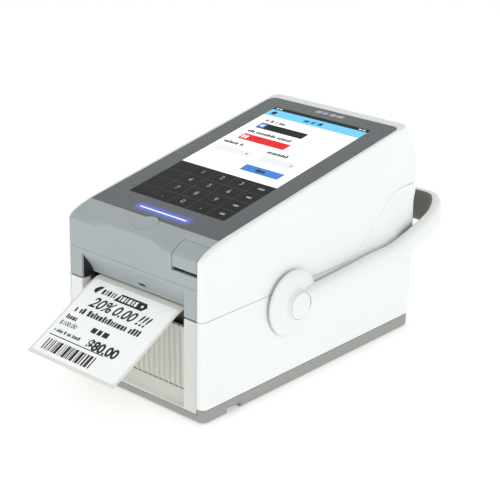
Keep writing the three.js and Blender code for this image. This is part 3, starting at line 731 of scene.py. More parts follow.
def knuckle(middle_x, half, up, web_thickness=3.4):
    """A hinge barrel and its web: on the lid the web runs up from it, on the lower case down."""
    x0, x1 = middle_x - half, middle_x + half
    z0, z1 = sorted(HINGE.z + up * reach for reach in KNUCKLE_WEB)
    return [barrel(x0, x1), box(x0, x1, HINGE.y - web_thickness, HINGE.y, z0, z1)]


def flared_y(outline_of, y0, y1, flare):
    """A cutter through the rear wall whose mouth opens with a round lip."""
    levels = [(0.0, y0)] + [(grow, y1 - drop) for grow, drop in quarter(flare)] + [(flare, y1 + 6)]
    return loft([[(x, y, z) for x, z in outline_of(grow)] for grow, y in levels])


BOSS_X, BOSS_Y = 61.0, (-70, 44)
SOCKETS = [(-44, -32, 16, 28), (-16, -3, 16, 29), (12, 29, 16, 31)]  # x and z of the openings in the rear
STUD_HOLE_R = 5.3


def lower_case():
    rings = [lower_ring(station) for station in OPEN_ROUND]
    cuts = []
    for x0, x1, z0, z1 in SOCKETS:
        def outline(grow, x0=x0, x1=x1, z0=z0, z1=z1):
            return rounded_outline(x0 - grow, x1 + grow, z0 - grow, z1 + grow, 1.5 + grow)
        cuts.append(flared_y(outline, 75, rear_y((z0 + z1) / 2), 0.5))
    bosses, screw_holes = [], []
    for side, name in SIDES:
        cuts.append(bar_x(PIVOT, STUD_HOLE_R, side * 66 - 8, side * 66 + 8))
        for y in BOSS_Y:
            bosses.append(post(4, SHELL_LOW, 26, side * BOSS_X, y))
            screw_holes.append(post(1.6, 0, 20, side * BOSS_X, y))
    barrels = knuckle(-46, 6, -1) + knuckle(46, 6, -1) + knuckle(0, 26.8, -1, 3.0)
    return piece("lower_case_shell", loft(rings), WHITE, "case", ["lower_case"],
                 cuts + screw_holes, bosses + barrels)


# ---------- lid ----------
RIM_X = SIDE_INNER + 0.1
POCKET_Y = SLOPE_Y + (GLASS_REAR + JOINT) * math.cos(SLOPE)  # rear edge of the glass pocket, in plan
LEDGE_X, LEDGE_Y, LEDGE_CORNER = 52.0, 66.9, 4.0
GLASS_DEPTH, TOP_DEPTH = 2.1, 5.0
REAR_FILLET = 3.0


def rim_point(station, outer):
    """Inner edge of the white rim beside a station, where the glass or the bezel begins."""
    stretch, t, side = station
    corner = GLASS_CORNER
    if stretch == "front":
        return side * min(RIM_X, abs(outer[0]) - 0.04), outer[1]
    if stretch == "side":
        return side * RIM_X, lerp(plan_point(("side", 0, 1), 120)[1], POCKET_Y - corner, t)
    if stretch == "turn":
        x, y = round_corner(RIM_X, POCKET_Y, corner, t)
        return side * x, y
    return side * (RIM_X - corner) * (1 - t), POCKET_Y


def ledge_point(station, rim):
    """Inner edge of the ledge that the glass is bonded to."""
    stretch, t, side = station
    if stretch == "front":
        return rim[0] - side * 0.02, rim[1]
    if stretch == "side":
        open_x = lerp(abs(rim[0]) - 0.02, LEDGE_X, smoothstep(-112, -100, rim[1]))
        return side * open_x, min(rim[1], LEDGE_Y - LEDGE_CORNER)
    if stretch == "turn":
        x, y = round_corner(LEDGE_X, LEDGE_Y, LEDGE_CORNER, t)
        return side * x, y
    return side * (LEDGE_X - LEDGE_CORNER) * (1 - t), LEDGE_Y


def lid_ring(station):
    """The lid's wall at a station, with the rim, the glass pocket and the ledge at its top."""
    low = height_at(station, lambda y: seam_edge(y, 1), SEAM_Z)
    fillet = 1.4
    for _ in range(3):
        edge = height_at(station, lambda y: top_z(y) - fillet, 130)
        outer = plan_point(station, edge)
        rim = rim_point(station, outer)
        width = math.hypot(outer[0] - rim[0], outer[1] - rim[1])
        fillet = min(REAR_FILLET, 0.92 * width)
    ring = foot_edge(station, low) + wall_rows(station, low + EDGE, edge, 34)
    for inset, drop in quarter(fillet, 7):
        x, y = (lerp(outer[k], rim[k], inset / width) for k in (0, 1))
        ring.append((x, y, top_z(y) - drop))
    top = top_z(rim[1])
    ring += [(*rim, top), (*rim, top - GLASS_DEPTH)]
    ledge = ledge_point(station, rim)
    ledge_top = top_z(ledge[1])
    ring += [(*ledge, ledge_top - GLASS_DEPTH - 0.01), (*ledge, ledge_top - TOP_DEPTH)]
    inner = height_at(station, lambda y: top_z(y) - TOP_DEPTH, 120, WALL)
    ring.append(wall_point(station, inner, WALL))
    return ring + wall_rows(station, inner, low, 10, WALL)


def lid_cover():
    rings = [lid_ring(station) for station in OPEN_ROUND]
    shelf = on_slope(box(-59, 59, GLASS_FRONT + 0.4, -8, -TOP_DEPTH, -GLASS_DEPTH - 0.01))
    light_slot = on_slope(box(LED_LOW.x - JOINT, LED_HIGH.x + JOINT, LED_V - 1.1, LED_V + 1.1, -20, 5))
    return piece("lid_shell", loft(rings), WHITE, "lid", ["lid_cover"],
                 [light_slot, power_hole(9.2)], [shelf] + knuckle(-33.2, 6, 1) + knuckle(33.2, 6, 1))


def mouth_shade_plates():
    """Black plates of painted shade on the mouth's inner sides, and black strips behind the joint under the
    nose that paint the gap's shadow.
    """
    behind_face, behind_mouth, thinnest = 1.5, 1.2, 1.9
    joint_y = (-129.6, -128.8)
    zs = spread(MOUTH_LOW - 2.0, LIP_Z - 1.5, 12)
    front = [(front_y(z) + behind_face, z) for z in zs]
    back = [(front_y(z) + max(mouth_depth(z) + behind_mouth, thinnest), z) for z in reversed(zs)]
    for side, name in SIDES:
        faces_x = (MOUTH_HALF - 0.35, MOUTH_HALF + 0.6)
        rings = [[(side * x, y, z) for y, z in front + back] for x in faces_x]
        x0, x1 = sorted((side * (MOUTH_HALF + JOINT), side * (PANEL_HALF - 1.5)))
        # a black strip of painted shadow behind the joint under the nose
        strip = box(x0, x1, *joint_y, SEAM_Z - 2.9, SEAM_Z + 3.1)
        piece(f"mouth_shade_plate_{name}", loft(rings), BLACK, "case", [], [], [strip])


BUTTON_X, BUTTON_V, BUTTON_R = 0.5, -27.5, 8.5


def power_hole(radius):
    """A cutter for the hole that the power button stands in."""
    return on_slope(post(radius, -20, 10, BUTTON_X, BUTTON_V, 96))


# ---------- nose: bezel and release button ----------
PARTING_Z = 93.0
LIP_Z = 90.5  # the mouth starts to slope in here
MOUTH_LOW = 73.8
CREST = 1.6


def tongue(x):
    """1 on the middle of the nose, which carries the slope to the front, and 0 beside it."""
    return smoothstep(-37, -20, x) * (1 - smoothstep(14, 36, x))


def in_mouth(x, half, soft=0.22):
    """1 between the sides at -half and half, and 0 outside them."""
    return 1 - smoothstep(half - soft, half + soft, abs(x))


MOUTH_REACH, MOUTH_FALL = 9.7, 15.5  # how far the mouth slopes in, and over what height


def mouth_depth(z):
    """How far the mouth's upper face lies behind the front."""
    t = min(max((LIP_Z - z) / MOUTH_FALL, 0), 1)
    return MOUTH_REACH * (0.35 * smoothstep(0, 1, t) + 0.65 * t)


def nose_top(x, rear, sink=0.0, steps=16):
    """Points (y, z) over the nose from the rear edge to the front face, sunk into it by sink."""
    up = tongue(x)
    last = front_y(NOSE_EDGE_Z) + CREST + 0.4
    points = [(y, top_z(y, up) - sink) for y in spread(rear, last, steps)]
    y0, z0 = points[-1]
    slope = (points[-2][1] - z0) / (points[-2][0] - y0)
    z1 = z0 - CREST - 0.8 + 0.4 * sink
    y1 = front_y(z1) + sink
    corner = (y1, z0 + slope * (y1 - y0))
    for i in range(1, 9):
        t = i / 8
        y = (1 - t) ** 2 * y0 + 2 * t * (1 - t) * corner[0] + t * t * y1
        z = (1 - t) ** 2 * z0 + 2 * t * (1 - t) * corner[1] + t * t * z1
        points.append((y, z))
    return points


def bezel_ring(x, tuck):
    """The bezel's section at x: over the nose, down the front, under the lip and back up inside."""
    open_out, open_in = in_mouth(x, MOUTH_HALF), in_mouth(x, MOUTH_HALF + WALL)
    top = nose_top(x, BEZEL_REAR, tuck)
    bottom = lerp(SEAM_Z + 0.6, MOUTH_LOW, open_out)
    crest_z = top[-1][1]
    upper = spread(crest_z, PARTING_Z + 0.3, 8, 1)
    groove = [(PARTING_Z + 0.12, 0.28), (PARTING_Z - 0.12, 0.28), (PARTING_Z - 0.3, 0.0)]
    lower = spread(PARTING_Z - 0.4, bottom + EDGE, 26)
    ring = top + [(front_y(z) + tuck, z) for z in upper]
    ring += [(front_y(z) + depth + tuck, z) for z, depth in groove]
    ring += [(front_y(z) + open_out * mouth_depth(z) + tuck, z) for z in lower]
    foot = front_y(bottom) + open_out * mouth_depth(bottom) + tuck
    ring += [(foot + inset, bottom + drop) for inset, drop in quarter(EDGE)[1:]]
    inner_foot = front_y(bottom) + open_in * mouth_depth(bottom) + WALL
    ring.append((max(inner_foot, foot + EDGE + 0.4), bottom))
    ring += [(front_y(z) + open_in * mouth_depth(z) + WALL, z) for z in spread(bottom + 0.5, 104, 16)]
    ring += reversed(nose_top(x, BEZEL_REAR, WALL, 8))
    return [(x, y, z) for y, z in ring]


def columns(half, marks):
    """Places across the front: even ones, with more at the marks and at the rounded ends."""
    ends = [half - inset for inset, drop in quarter(EDGE)]
    places = {round(v, 4) for v in ends} | {round(-v, 4) for v in ends}
    places |= {round(-half + half * i / 24, 4) for i in range(1, 48)}
    for at in marks:
        places = {v for v in places if abs(v - at) > 0.5}
        places |= {round(at + side * d, 4) for side in (-1, 1) for d in (0.05, 0.13, 0.22, 0.45)}
    return sorted(places)


def tuck_at(x, half):
    """How far a rounded end draws the section in."""
    near = half - abs(x)
    return EDGE - math.sqrt(max(EDGE ** 2 - (EDGE - near) ** 2, 0)) if near < EDGE else 0.0


MOUTH_MARKS = [side * half for side in (-1, 1) for half in (MOUTH_HALF, MOUTH_HALF + WALL)]


def front_bezel():
    rings = [bezel_ring(x, tuck_at(x, PANEL_HALF)) for x in columns(PANEL_HALF, MOUTH_MARKS)]
    notch = rounded_outline(RELEASE_LOW.x - 0.4, 75, RELEASE_BOTTOM - RELEASE_TRAVEL, 200, 0.8)
    corner = loft([[(x, y, z) for x, z in notch] for y in (AHEAD, RELEASE_HIGH.y + 0.4)])
    label_eye = box(-1.6, 5.0, -130, -120.5, 77.0, 79.4)  # the small opening over the label
    return piece("nose_bezel", loft(rings), PANEL_GREY, "lid", ["front_bezel"],
                 [corner, power_hole(8.63), label_eye])


RELEASE_LOW, RELEASE_HIGH = case_box("release_button")
RELEASE_BOTTOM, RELEASE_TRAVEL = 103.8, 2.4


def release_ring(x, tuck):
    """The release button's section at x, which follows the nose."""
    top = nose_top(x, RELEASE_HIGH.y - tuck, tuck)
    low = RELEASE_BOTTOM
    ring = top + [(front_y(z) + tuck, z) for z in spread(top[-1][1], low + EDGE, 5, 1)]
    ring += [(front_y(low) + tuck + inset, low + drop) for inset, drop in quarter(EDGE)[1:]]
    ring += [(front_y(low) + WALL, low)]
    inner = nose_top(x, RELEASE_HIGH.y - tuck, WALL, 8)
    return [(x, y, z) for y, z in ring + inner[::-1]]


def release_button():
    x0, x1 = RELEASE_LOW.x, RELEASE_HIGH.x
    centre, half = (x0 + x1) / 2, (x1 - x0) / 2
    places = sorted({round(v, 4) for inset, drop in quarter(EDGE) for v in (inset - half, half - inset)}
                    | {round(-half + 1 + (2 * half - 2) * i / 14, 4) for i in range(15)})
    rings = [release_ring(centre + at, tuck_at(at, half)) for at in places]
    tab = box(44.5, 49.5, -126, -122, 97, 114.5)  # presses the latch
    return piece("release_key", loft(rings), PANEL_GREY, "release_button",
                 ["release_button"], [], [tab])


# ---------- front panel and base ----------
RECESS_BACK = -127.6
RECESS_TOP = 61.5
LEDGE_Z = 7.6  # the recess sweeps out to the front face at this height
RIB_PITCH, RIB_HALF, RIB_HEIGHT = 5.0, 0.6, 1.2
GROOVE_LOW, GROOVE_HIGH, GROOVE_DEPTH = 16.2, 17.4, 1.8  # under the ribbed back


def recess_y(z):
    """The recess under the mouth: a flat back that sweeps out to a ledge near the floor."""
    if z <= LEDGE_Z:
        return front_y(z)
    if z >= GROOVE_LOW:
        return RECESS_BACK + (GROOVE_DEPTH if z < GROOVE_HIGH else 0.0)
    blend = math.sqrt((z - LEDGE_Z) / (GROOVE_LOW - LEDGE_Z))
    return lerp(front_y(LEDGE_Z), RECESS_BACK, 1 - (1 - blend) ** 2)


def rib(x):
    """Height of the ribs on the back of the recess at x."""
    off = abs((x + RIB_PITCH / 2) % RIB_PITCH - RIB_PITCH / 2)
    near_edge = abs(x) > MOUTH_HALF - 3
    return 0.0 if near_edge else RIB_HEIGHT * (1 - smoothstep(RIB_HALF * 0.4, RIB_HALF * 1.3, off))


def panel_ring(x, tuck):
    """The front panel's section at x."""
    inside, behind = in_mouth(x, MOUTH_HALF), in_mouth(x, MOUTH_HALF + WALL)
    low, high = BAND_FRONT + JOINT + tuck, SEAM_Z - 0.6 - tuck

    def outer(z):
        ribbed = recess_y(z) - rib(x) * (z >= GROOVE_HIGH)
        return lerp(front_y(z), ribbed, inside) + tuck

    step = 0.02
    zs = spread(low + EDGE, GROOVE_LOW - step, 18) + [GROOVE_LOW, GROOVE_HIGH - step]
    zs += spread(GROOVE_HIGH, high - EDGE, 18)
    ring = [(outer(low) + inset, low + drop) for inset, drop in reversed(quarter(EDGE))]
    ring += [(outer(z), z) for z in zs[1:-1]]
    ring += [(outer(high) + inset, high - drop) for inset, drop in quarter(EDGE)]
    ring += [(lerp(front_y(z), recess_y(z), behind) + WALL, z) for z in spread(high, low, 16)]
    return [(x, y, z) for y, z in ring]


def front_panel():
    places = set(columns(PANEL_HALF, MOUTH_MARKS))
    for k in range(-9, 10):
        places |= {round(k * RIB_PITCH + side * d, 4) for side in (-1, 1) for d in (0.1, 0.3, 0.5, 0.75)}
    rings = [panel_ring(x, tuck_at(x, PANEL_HALF)) for x in sorted(places)]
    window = box(-MOUTH_HALF + 0.2, MOUTH_HALF - 0.2, AHEAD, -110, RECESS_TOP, 90)
    return piece("front_plate", loft(rings), WHITE_WITH_RECESS_SHADE, "case",
                 ["front_panel"], [window])


BAND_STEP = PANEL_HALF + 0.7  # the band is lower from here to the middle


def base_pan():
    bottom, rounding = BASE_LOW.z, 1.3
    screw_hole = [(0, 0), (3.3, 0), (3.3, 3.5), (1.7, 3.5), (1.7, 20), (0, 20)]

    def level(inset, z):
        return [wall_point(station, z, inset) for station in CLOSED_ROUND]

    rings = [level(inset, bottom + drop) for inset, drop in reversed(quarter(rounding))]
    rings += [level(0, lerp(bottom + rounding, BAND_SIDE - EDGE, t)) for t in (0.33, 0.67)]
    rings += [level(inset, BAND_SIDE - drop) for inset, drop in quarter(EDGE)]
    rings += [level(WALL, BAND_SIDE), level(WALL, 4.0)]
    cuts = []
    for corner in FEET:
        centre = case_middle(f"foot_{corner}")
        cuts.append(post(7.2, 0, 2.6, centre.x, centre.y))
        screw = case_middle(f"base_screw_{corner}")
        cuts.append(turned_z(screw_hole, screw.x, screw.y, 32))
    cuts += [box(side * 67 - 5, side * 67 + 5, -112, -98.5, 0, 4.4) for side, name in SIDES]
    cuts.append(box(-BAND_STEP, BAND_STEP, AHEAD, -121, BAND_FRONT, 30))
    cuts += [box(x - 1, x + 1, -40, 40, 0, 2.5) for x in (-24, -18, -12, 12, 18, 24)]
    return piece("base_tray", loft(rings), BASE_GREY, "case", ["base_pan"], cuts)


def feet():
    profile = [(0, 0.25), (3.6, 0.25), (3.9, 0.0), (6.3, 0.0), (6.75, 0.25), (6.9, 0.7), (6.9, 2.3),
               (0, 2.3)]
    for corner in FEET:
        centre = case_middle(f"foot_{corner}")
        foot = turned_z(profile, centre.x, centre.y)
        piece(f"rubber_foot_{corner}", foot, RUBBER, "case", [f"foot_{corner}"])


# ---------- power button, screen and light ----------
def power_button():
    r = BUTTON_R
    profile = [(0, -4), (r, -4), (r, -0.05), (r - 0.12, 0.2), (r - 0.45, 0.38), (r - 1.2, 0.5),
               (4, 0.72), (0, 0.8)]
    cap = on_slope(turned_z(profile, BUTTON_X, BUTTON_V, 96))
    stem = on_slope(post(2, -7, -3.9, BUTTON_X, BUTTON_V, 32))
    return piece("power_key", cap, PANEL_GREY, "power_button", ["power_button"], [], [stem])


def cover_glass():
    levels = [(0.0, -GLASS_T), (0.0, -0.35), (0.1, -0.1), (0.35, 0.0)]
    corners = [0.8, GLASS_CORNER, GLASS_CORNER, 0.8]
    rings = []
    for inset, w in levels:
        half = GLASS_HALF - inset
        outline = rounded_outline(-half, half, GLASS_FRONT + inset, GLASS_REAR - inset,
                                  [c - inset for c in corners], 10)
        rings.append([(x, v, w) for x, v in outline])
    slot_v = (LED_V - LED_SLOT, LED_V + LED_SLOT)
    slot = on_slope(plate(LED_LOW.x - 0.1, LED_HIGH.x + 0.1, *slot_v, -5, 5, LED_SLOT, 0.01))
    return piece("cover_glass", on_slope(loft(rings)), GLASS, "lid", ["touch_glass"],
                 [slot, power_hole(9.0)])


def light_bar():
    bar_v = (LED_V - LED_HALF, LED_V + LED_HALF)
    bar = on_slope(plate(LED_LOW.x, LED_HIGH.x, *bar_v, -5.6, 0.02, LED_HALF, 0.05))
    return piece("light_guide", bar, LIGHT, "lid", ["led_light_bar"])


def glyphs(text, size, middle_x, middle_y, low, high, shear=0.0, bold=0.0):
    """Digits and signs as a thin closed solid of the given height."""
    curve = bpy.data.curves.new("glyphs", "FONT")
    curve.body = text
    curve.size = size
    curve.align_x = curve.align_y = "CENTER"
    curve.shear = shear
    curve.offset = bold
    curve.extrude = (high - low) / 2
    curve.resolution_u = 4
    thing = added("glyphs", curve)
    bpy.context.view_layer.update()
    mesh = bpy.data.meshes.new_from_object(thing.evaluated_get(bpy.context.evaluated_depsgraph_get()))
    centre = (low + high) / 2
    points = [(v.co.x + middle_x, v.co.y + middle_y, v.co.z + centre) for v in mesh.vertices]
    faces = [tuple(p.vertices) for p in mesh.polygons]
    bpy.data.objects.remove(thing)
    bpy.data.meshes.remove(mesh)
    return points, faces


def greeked(x0, x1, y, height, low, high):
    """A line of small print, shown as words of uneven length."""
    parts, x = [], x0
    while x < x1 - 1:
        width = min(random.uniform(0.25, 0.6) * height, x1 - x)
        rise = random.choice((0, 0, 0.25)) * height
        parts.append(box(x, x + width, y - height / 2, y + height / 2 * 0.6 + rise, low, high))
        x += width + 0.14 * height
        if random.random() < 0.12:
            x += 0.5 * height
    return parts


LAYER = 0.03  # thickness of a layer of print


def sheet_piece(name, parts, material, body, mapping=on_slope):
    """Thin print, laid on the screen or on the label."""
    return piece(name, mapping(joined(parts)), material, body, angle=20)


def bars(places, y0, y1, low, high):
    """Upright bars, each given by its left edge and its width."""
    return [box(x, x + width, y0, y1, low, high) for x, width in places]


KEY_PITCH_X, KEY_PITCH_V = 18.3, 13.0
KEYS_HIGH = 52.5  # the keypad fills the screen up to here
PAGE_HALF, PAGE_HIGH = 45.0, 150.0


def screen():
    """What the panel shows: a form above a number pad, without any wording."""
    def level(k):
        return (k - 1) * LAYER - 0.01, k * LAYER

    white = lit("screen_white", (0.93, 0.94, 0.95), 0.42)
    blue = lit("screen_sky", (0.17, 0.6, 0.92), 0.35)
    dark = lit("screen_dark", (0.012, 0.0125, 0.012), 0.01)
    black = lit("screen_black", (0.003, 0.003, 0.004), 0.01)
    red = lit("screen_red", (0.8, 0.006, 0.01), 0.3)
    button = lit("screen_button", (0.055, 0.22, 0.62), 0.3)
    pale = lit("screen_pale", (0.8, 0.81, 0.82), 0.35)
    line = lit("screen_line", (0.075, 0.075, 0.072), 0.08)
    figure = lit("screen_figure", (0.4, 0.41, 0.41), 0.2)

    def put(name, material, *parts):
        sheet_piece(name, list(parts), material, "lid")

    put("screen_page", white, box(-PAGE_HALF, PAGE_HALF, KEYS_HIGH, PAGE_HIGH, *level(1)))
    put("screen_keypad", dark, box(-PAGE_HALF, PAGE_HALF, 0.0, KEYS_HIGH, *level(1)))
    put("screen_status", black, box(-PAGE_HALF, PAGE_HALF, PAGE_HIGH + 0.02, 154.3, *level(1)),
        box(-35.5, 9, 119.5, 128, *level(2)))
    put("screen_title", blue, box(-PAGE_HALF, PAGE_HALF, 140, PAGE_HIGH, *level(2)))
    put("screen_warning", red, box(-35, 9.3, 99.4, 108.2, *level(2)))
    put("screen_button", button, box(1.5, 36.4, 62, 70.5, *level(2)),
        box(-34.8, -29, 120.6, 127, *level(3)))
    put("screen_boxes", pale, *bars([(-41, 34), (2.5, 32.5)], 78, 86.5, *level(2)))
    rows = [KEY_PITCH_V * k for k in (1, 2, 3)]
    lines = [box(-PAGE_HALF, PAGE_HALF, v - 0.2, v + 0.2, *level(2)) for v in rows]
    upright_lines = [KEY_PITCH_X * k - 8.65 for k in (-1, 0, 1, 2)]
    lines += [box(x - 0.2, x + 0.2, 0, KEYS_HIGH, *level(2)) for x in upright_lines]
    put("screen_grid", line, *lines)
    signs = []
    for row, text in enumerate(("123", "456", "789", ".0,")):
        v = 46 - KEY_PITCH_V * row
        for k, sign in enumerate(text):
            signs.append(glyphs(sign, 6.2, 0.5 + KEY_PITCH_X * (k - 1), v, *level(3)))
        signs.append(box(35.2, 39.4, v - 0.9, v + 0.9, *level(3)))
    signs.append(prism([(33.6, 46), (35.4, 44.6), (35.4, 47.4)], *level(3)))
    put("screen_digits", figure, *signs)
    words = []
    for x0, x1, v in ((-36, -17, 132.6), (-36, 6, 113), (-40.5, -21, 92), (1.5, 21, 92)):
        words += greeked(x0, x1, v, 3.4, *level(2))
    words += greeked(-9, 9, 145, 4.2, *level(3)) + greeked(14, 23, 66.2, 3.2, *level(3))
    home = [(-42, 145.3), (-39, 148), (-36, 145.3), (-37, 145.3), (-37, 142.6), (-41, 142.6),
            (-41, 145.3)]
    words.append(prism(home, *level(3)))
    words += [prism([(x - 1.2, 83), (x, 81.2), (x + 1.2, 83)][::-1], *level(3)) for x in (-10, 31.5)]
    put("screen_words", black, *words)
    put("screen_white_marks", white, *[box(x, x + 2.2, 101.6, 106, *level(3)) for x in (-33.6, -30.6)],
        *[box(x, x + 1.2, 122, 125.6, *level(4)) for x in (-33.6, -31.6)],
        *[box(x, x + 2.4, 151.6, 152.8, *level(2)) for x in (-43, -39.6, 36, 39.6)])


def frame_badge():
    """The badge on the glass frame, as four plain leaning bars."""
    grey = plastic("pale_mark", (0.5, 0.52, 0.53), 0.4, 0.3, 0.01, 0.03)
    lean, low, high = 1.4, 160.4, 163.8
    letters = []
    for x, width in ((-13, 5.2), (-6.4, 4.2), (0.6, 5.2), (7.4, 5.2)):
        outline = [(x, low), (x + width, low), (x + width + lean, high), (x + lean, high)]
        letters.append(prism(outline, -0.05, 0.03))
    sheet_piece("frame_badge", letters, grey, "lid")


# ---------- label and liner ----------
LINER_HALF, LABEL_HALF = 42.0, 40.0
WEB_INSIDE = [(-9.8, 105.9), (-82.9, 74.37), (-83.8, 74.13), (-111, 72.2), (-119, 72.6)]
TONGUE = [(-122.6, 72.9), (-131, 72.6), (-142, 63.5), (-188.5, 38.5)]
LINER_T, LABEL_T = 0.3, 0.2
LABEL_FROM = 5.0  # bare liner above the label
LABEL_END = 3.0  # and below it


def tongue_point(t):
    weights = ((1 - t) ** 3, 3 * t * (1 - t) ** 2, 3 * t * t * (1 - t), t ** 3)
    return tuple(sum(w * point[k] for w, point in zip(weights, TONGUE)) for k in (0, 1))


def tongue_table(steps=200):
    """(distance from the mouth, t) along the free end of the web."""
    table = [(0.0, 0.0)]
    for i in range(steps):
        chord = math.dist(tongue_point(i / steps), tongue_point((i + 1) / steps))
        table.append((table[-1][0] + chord, (i + 1) / steps))
    return table


TONGUE_TABLE = tongue_table()
TONGUE_LENGTH = TONGUE_TABLE[-1][0]


def tongue_frame(distance):
    """Point on the free end of the web, distance from the mouth, and the way out of its printed side."""
    t = along(TONGUE_TABLE, distance)
    y, z = tongue_point(t)
    ahead, behind = tongue_point(t + 0.01), tongue_point(t - 0.01)
    dy, dz = ahead[0] - behind[0], ahead[1] - behind[1]
    length = math.hypot(dy, dz)
    return y, z, dz / length, -dy / length


def web_ribbon(stations, x_half, low, high):
    """A strip through stations (y, z, normal y, normal z), with sides at +-x_half."""
    rings = []
    section = ((-x_half, low), (x_half, low), (x_half, high), (0, high), (-x_half, high))
    for y, z, ny, nz in stations:
        rings.append([(x, y + ny * h, z + nz * h) for x, h in section])
    return loft(rings)


def inside_stations():
    """Stations along the web from the roll to the platen."""
    stations = []
    for a, b in zip(WEB_INSIDE, WEB_INSIDE[1:]):
        dy, dz = b[0] - a[0], b[1] - a[1]
        length = math.hypot(dy, dz)
        steps = max(2, int(length / 6))
        stations += [(lerp(a[0], b[0], i / steps), lerp(a[1], b[1], i / steps), dz / length, -dy / length)
                     for i in range(steps)]
    return stations


def liner_web():
    stations = inside_stations() + [tongue_frame(TONGUE_LENGTH * i / 48) for i in range(49)]
    part = web_ribbon(stations, LINER_HALF, -LINER_T / 2, LINER_T / 2)
    return piece("liner_strip", part, LINER, "case", ["liner_web"])


def on_label(part):
    """Flat print (x, distance from the label's far edge, height) laid on the curved label."""
    points, faces = part
    laid = []
    for x, down, height in points:
        y, z, ny, nz = tongue_frame(LABEL_FROM + down)
        laid.append((x, y + ny * height, z + nz * height))
    return laid, faces


def chopped(part, step=2.5):
    """The same solid with extra edges across it, so that it can bend."""
    points, faces = part
    bm = bmesh.new()
    verts = [bm.verts.new(p) for p in points]
    for face in faces:
        bm.faces.new([verts[i] for i in face])
    low, high = min(p[1] for p in points), max(p[1] for p in points)
    at = low + step
    while at < high - 0.2:
        geometry = list(bm.verts) + list(bm.edges) + list(bm.faces)
        bmesh.ops.bisect_plane(bm, geom=geometry, plane_co=(0, at, 0), plane_no=(0, 1, 0))
        at += step
    bm.verts.index_update()
    made = [tuple(v.co) for v in bm.verts], [tuple(v.index for v in f.verts) for f in bm.faces]
    bm.free()
    return made


def upright(part):
    """Print drawn with its lines from left to right and its top at the label's far edge."""
    points, faces = part
    return [(x, -y, h) for x, y, h in points], [tuple(reversed(f)) for f in faces]


def printed_label():
    base = LINER_T / 2 + 0.02
    length = TONGUE_LENGTH - LABEL_FROM - LABEL_END
    outline = rounded_outline(-LABEL_HALF, LABEL_HALF, 0, length, 2.0, 6)
    face = chopped(prism(outline, base, base + LABEL_T))
    piece("label", on_label(face), LABEL, "case", ["printed_label"])
    low, high = base + LABEL_T - 0.05, base + LABEL_T + 0.035  # the print, sunk a little into the label
    white_high = high + LAYER

    def text(body, size, x, down, **style):
        return upright(glyphs(body, size, x, -down, low, high, **style))

    def small_print(x0, x1, down, height):
        return [upright(word) for word in greeked(x0, x1, -down, height, low, high)]

    top, bottom = 4.5, 11.2  # of the tag
    tag = [(-33, top + 3), (-30, top), (-26.5, top), (-30, bottom), (-32.6, bottom - 1.4)]
    tag_end = [(-9, top), (15, top), (17.5, top + 3), (15, bottom), (-12, bottom)]
    dark = [prism(outline, low, high) for outline in (tag, tag_end)]
    letters = ((-25.4, 2.2), (-22, 1.1), (-19.8, 2.2), (-16.4, 1.1), (-14, 1.2))
    dark += bars(letters, top + 1.2, bottom - 1.2, low, high)
    dark += [text(*line, shear=0.3, bold=0.25) for line in
             (("20%", 12.0, -17.5, 18.2), ("0.00", 11.5, 4.5, 18.2), ("!!!", 12.0, 22, 18.0))]
    dark += small_print(-34, 28, 27.2, 4.6) + small_print(-36, -26, 34.6, 3.6)
    dark.append(text("$100.00", 5.0, -29, 40.5, bold=0.05))
    dark += bars(((-8.5, 4.6), (-2.6, 3.6), (2.4, 5)), 35.2, 39.4, low, high)
    dark.append(text("$80.00", 10.4, 11, 47.6, bold=0.42))
    dark += small_print(-36, -10, 47.2, 2.6)
    dark.append(box(-37, 16, 51.2, 51.9, low, high))
    x = -34.0
    while x < 14:
        width = random.choice((0.7, 1.1, 1.8, 2.6))
        dark.append(box(x, x + width, 54.5, 64.0, low, high))
        x += width + random.choice((0.6, 0.9, 1.4))
    sheet_piece("label_print", [chopped(part) for part in dark], INK, "case", on_label)
    letters = ((-8.4, 1.2), (-6, 2.2), (-2.6, 1.2), (0, 2.4), (3.6, 1.2), (6, 2.2))
    pale = bars(letters, top + 1.4, bottom - 1.4, low, white_high)
    pale.append(post(1.1, low, white_high, 13, (top + bottom) / 2, 20))  # the tag's eyelet
    sheet_piece("label_reversed_print", [chopped(part) for part in pale], LABEL, "case",
                on_label)


# ---------- handle ----------
ARM_X, BAR_Y, BEND = 71.9, 118.0, 17.5
ARM_HALF, BAR_HALF = 8.8, 11.6  # half the height of the arms and of the crossbar
UNDERHANG = 1.3  # how much further the crossbar reaches down than up
HANDLE_IN, HANDLE_OUT = -4.6, 4.8  # inner and outer face, from the line through the arms
BED_OUT, BED_FROM = 2.6, 72.0  # the lining's bed: its floor, and the y where it begins
ARM_HEIGHTS = [(-50, 60.7), (-8, 62.2), (32, 64.9), (57, 65.8), (80, 71.6), (100, 78), (114, 84)]


def hermite(table, at):
    """A smooth curve through (place, value), with slopes taken from the neighbours."""
    at = min(max(at, table[0][0]), table[-1][0])
    k = max(i for i in range(len(table) - 1) if table[i][0] <= at)
    slopes = []
    for i in (k, k + 1):
        a, b = table[max(i - 1, 0)], table[min(i + 1, len(table) - 1)]
        slopes.append((b[1] - a[1]) / (b[0] - a[0]))
    (x0, y0), (x1, y1) = table[k], table[k + 1]
    h = x1 - x0
    t = (at - x0) / h
    return ((2 * t ** 3 - 3 * t * t + 1) * y0 + (t ** 3 - 2 * t * t + t) * h * slopes[0]
            + (3 * t * t - 2 * t ** 3) * y1 + (t ** 3 - t * t) * h * slopes[1])


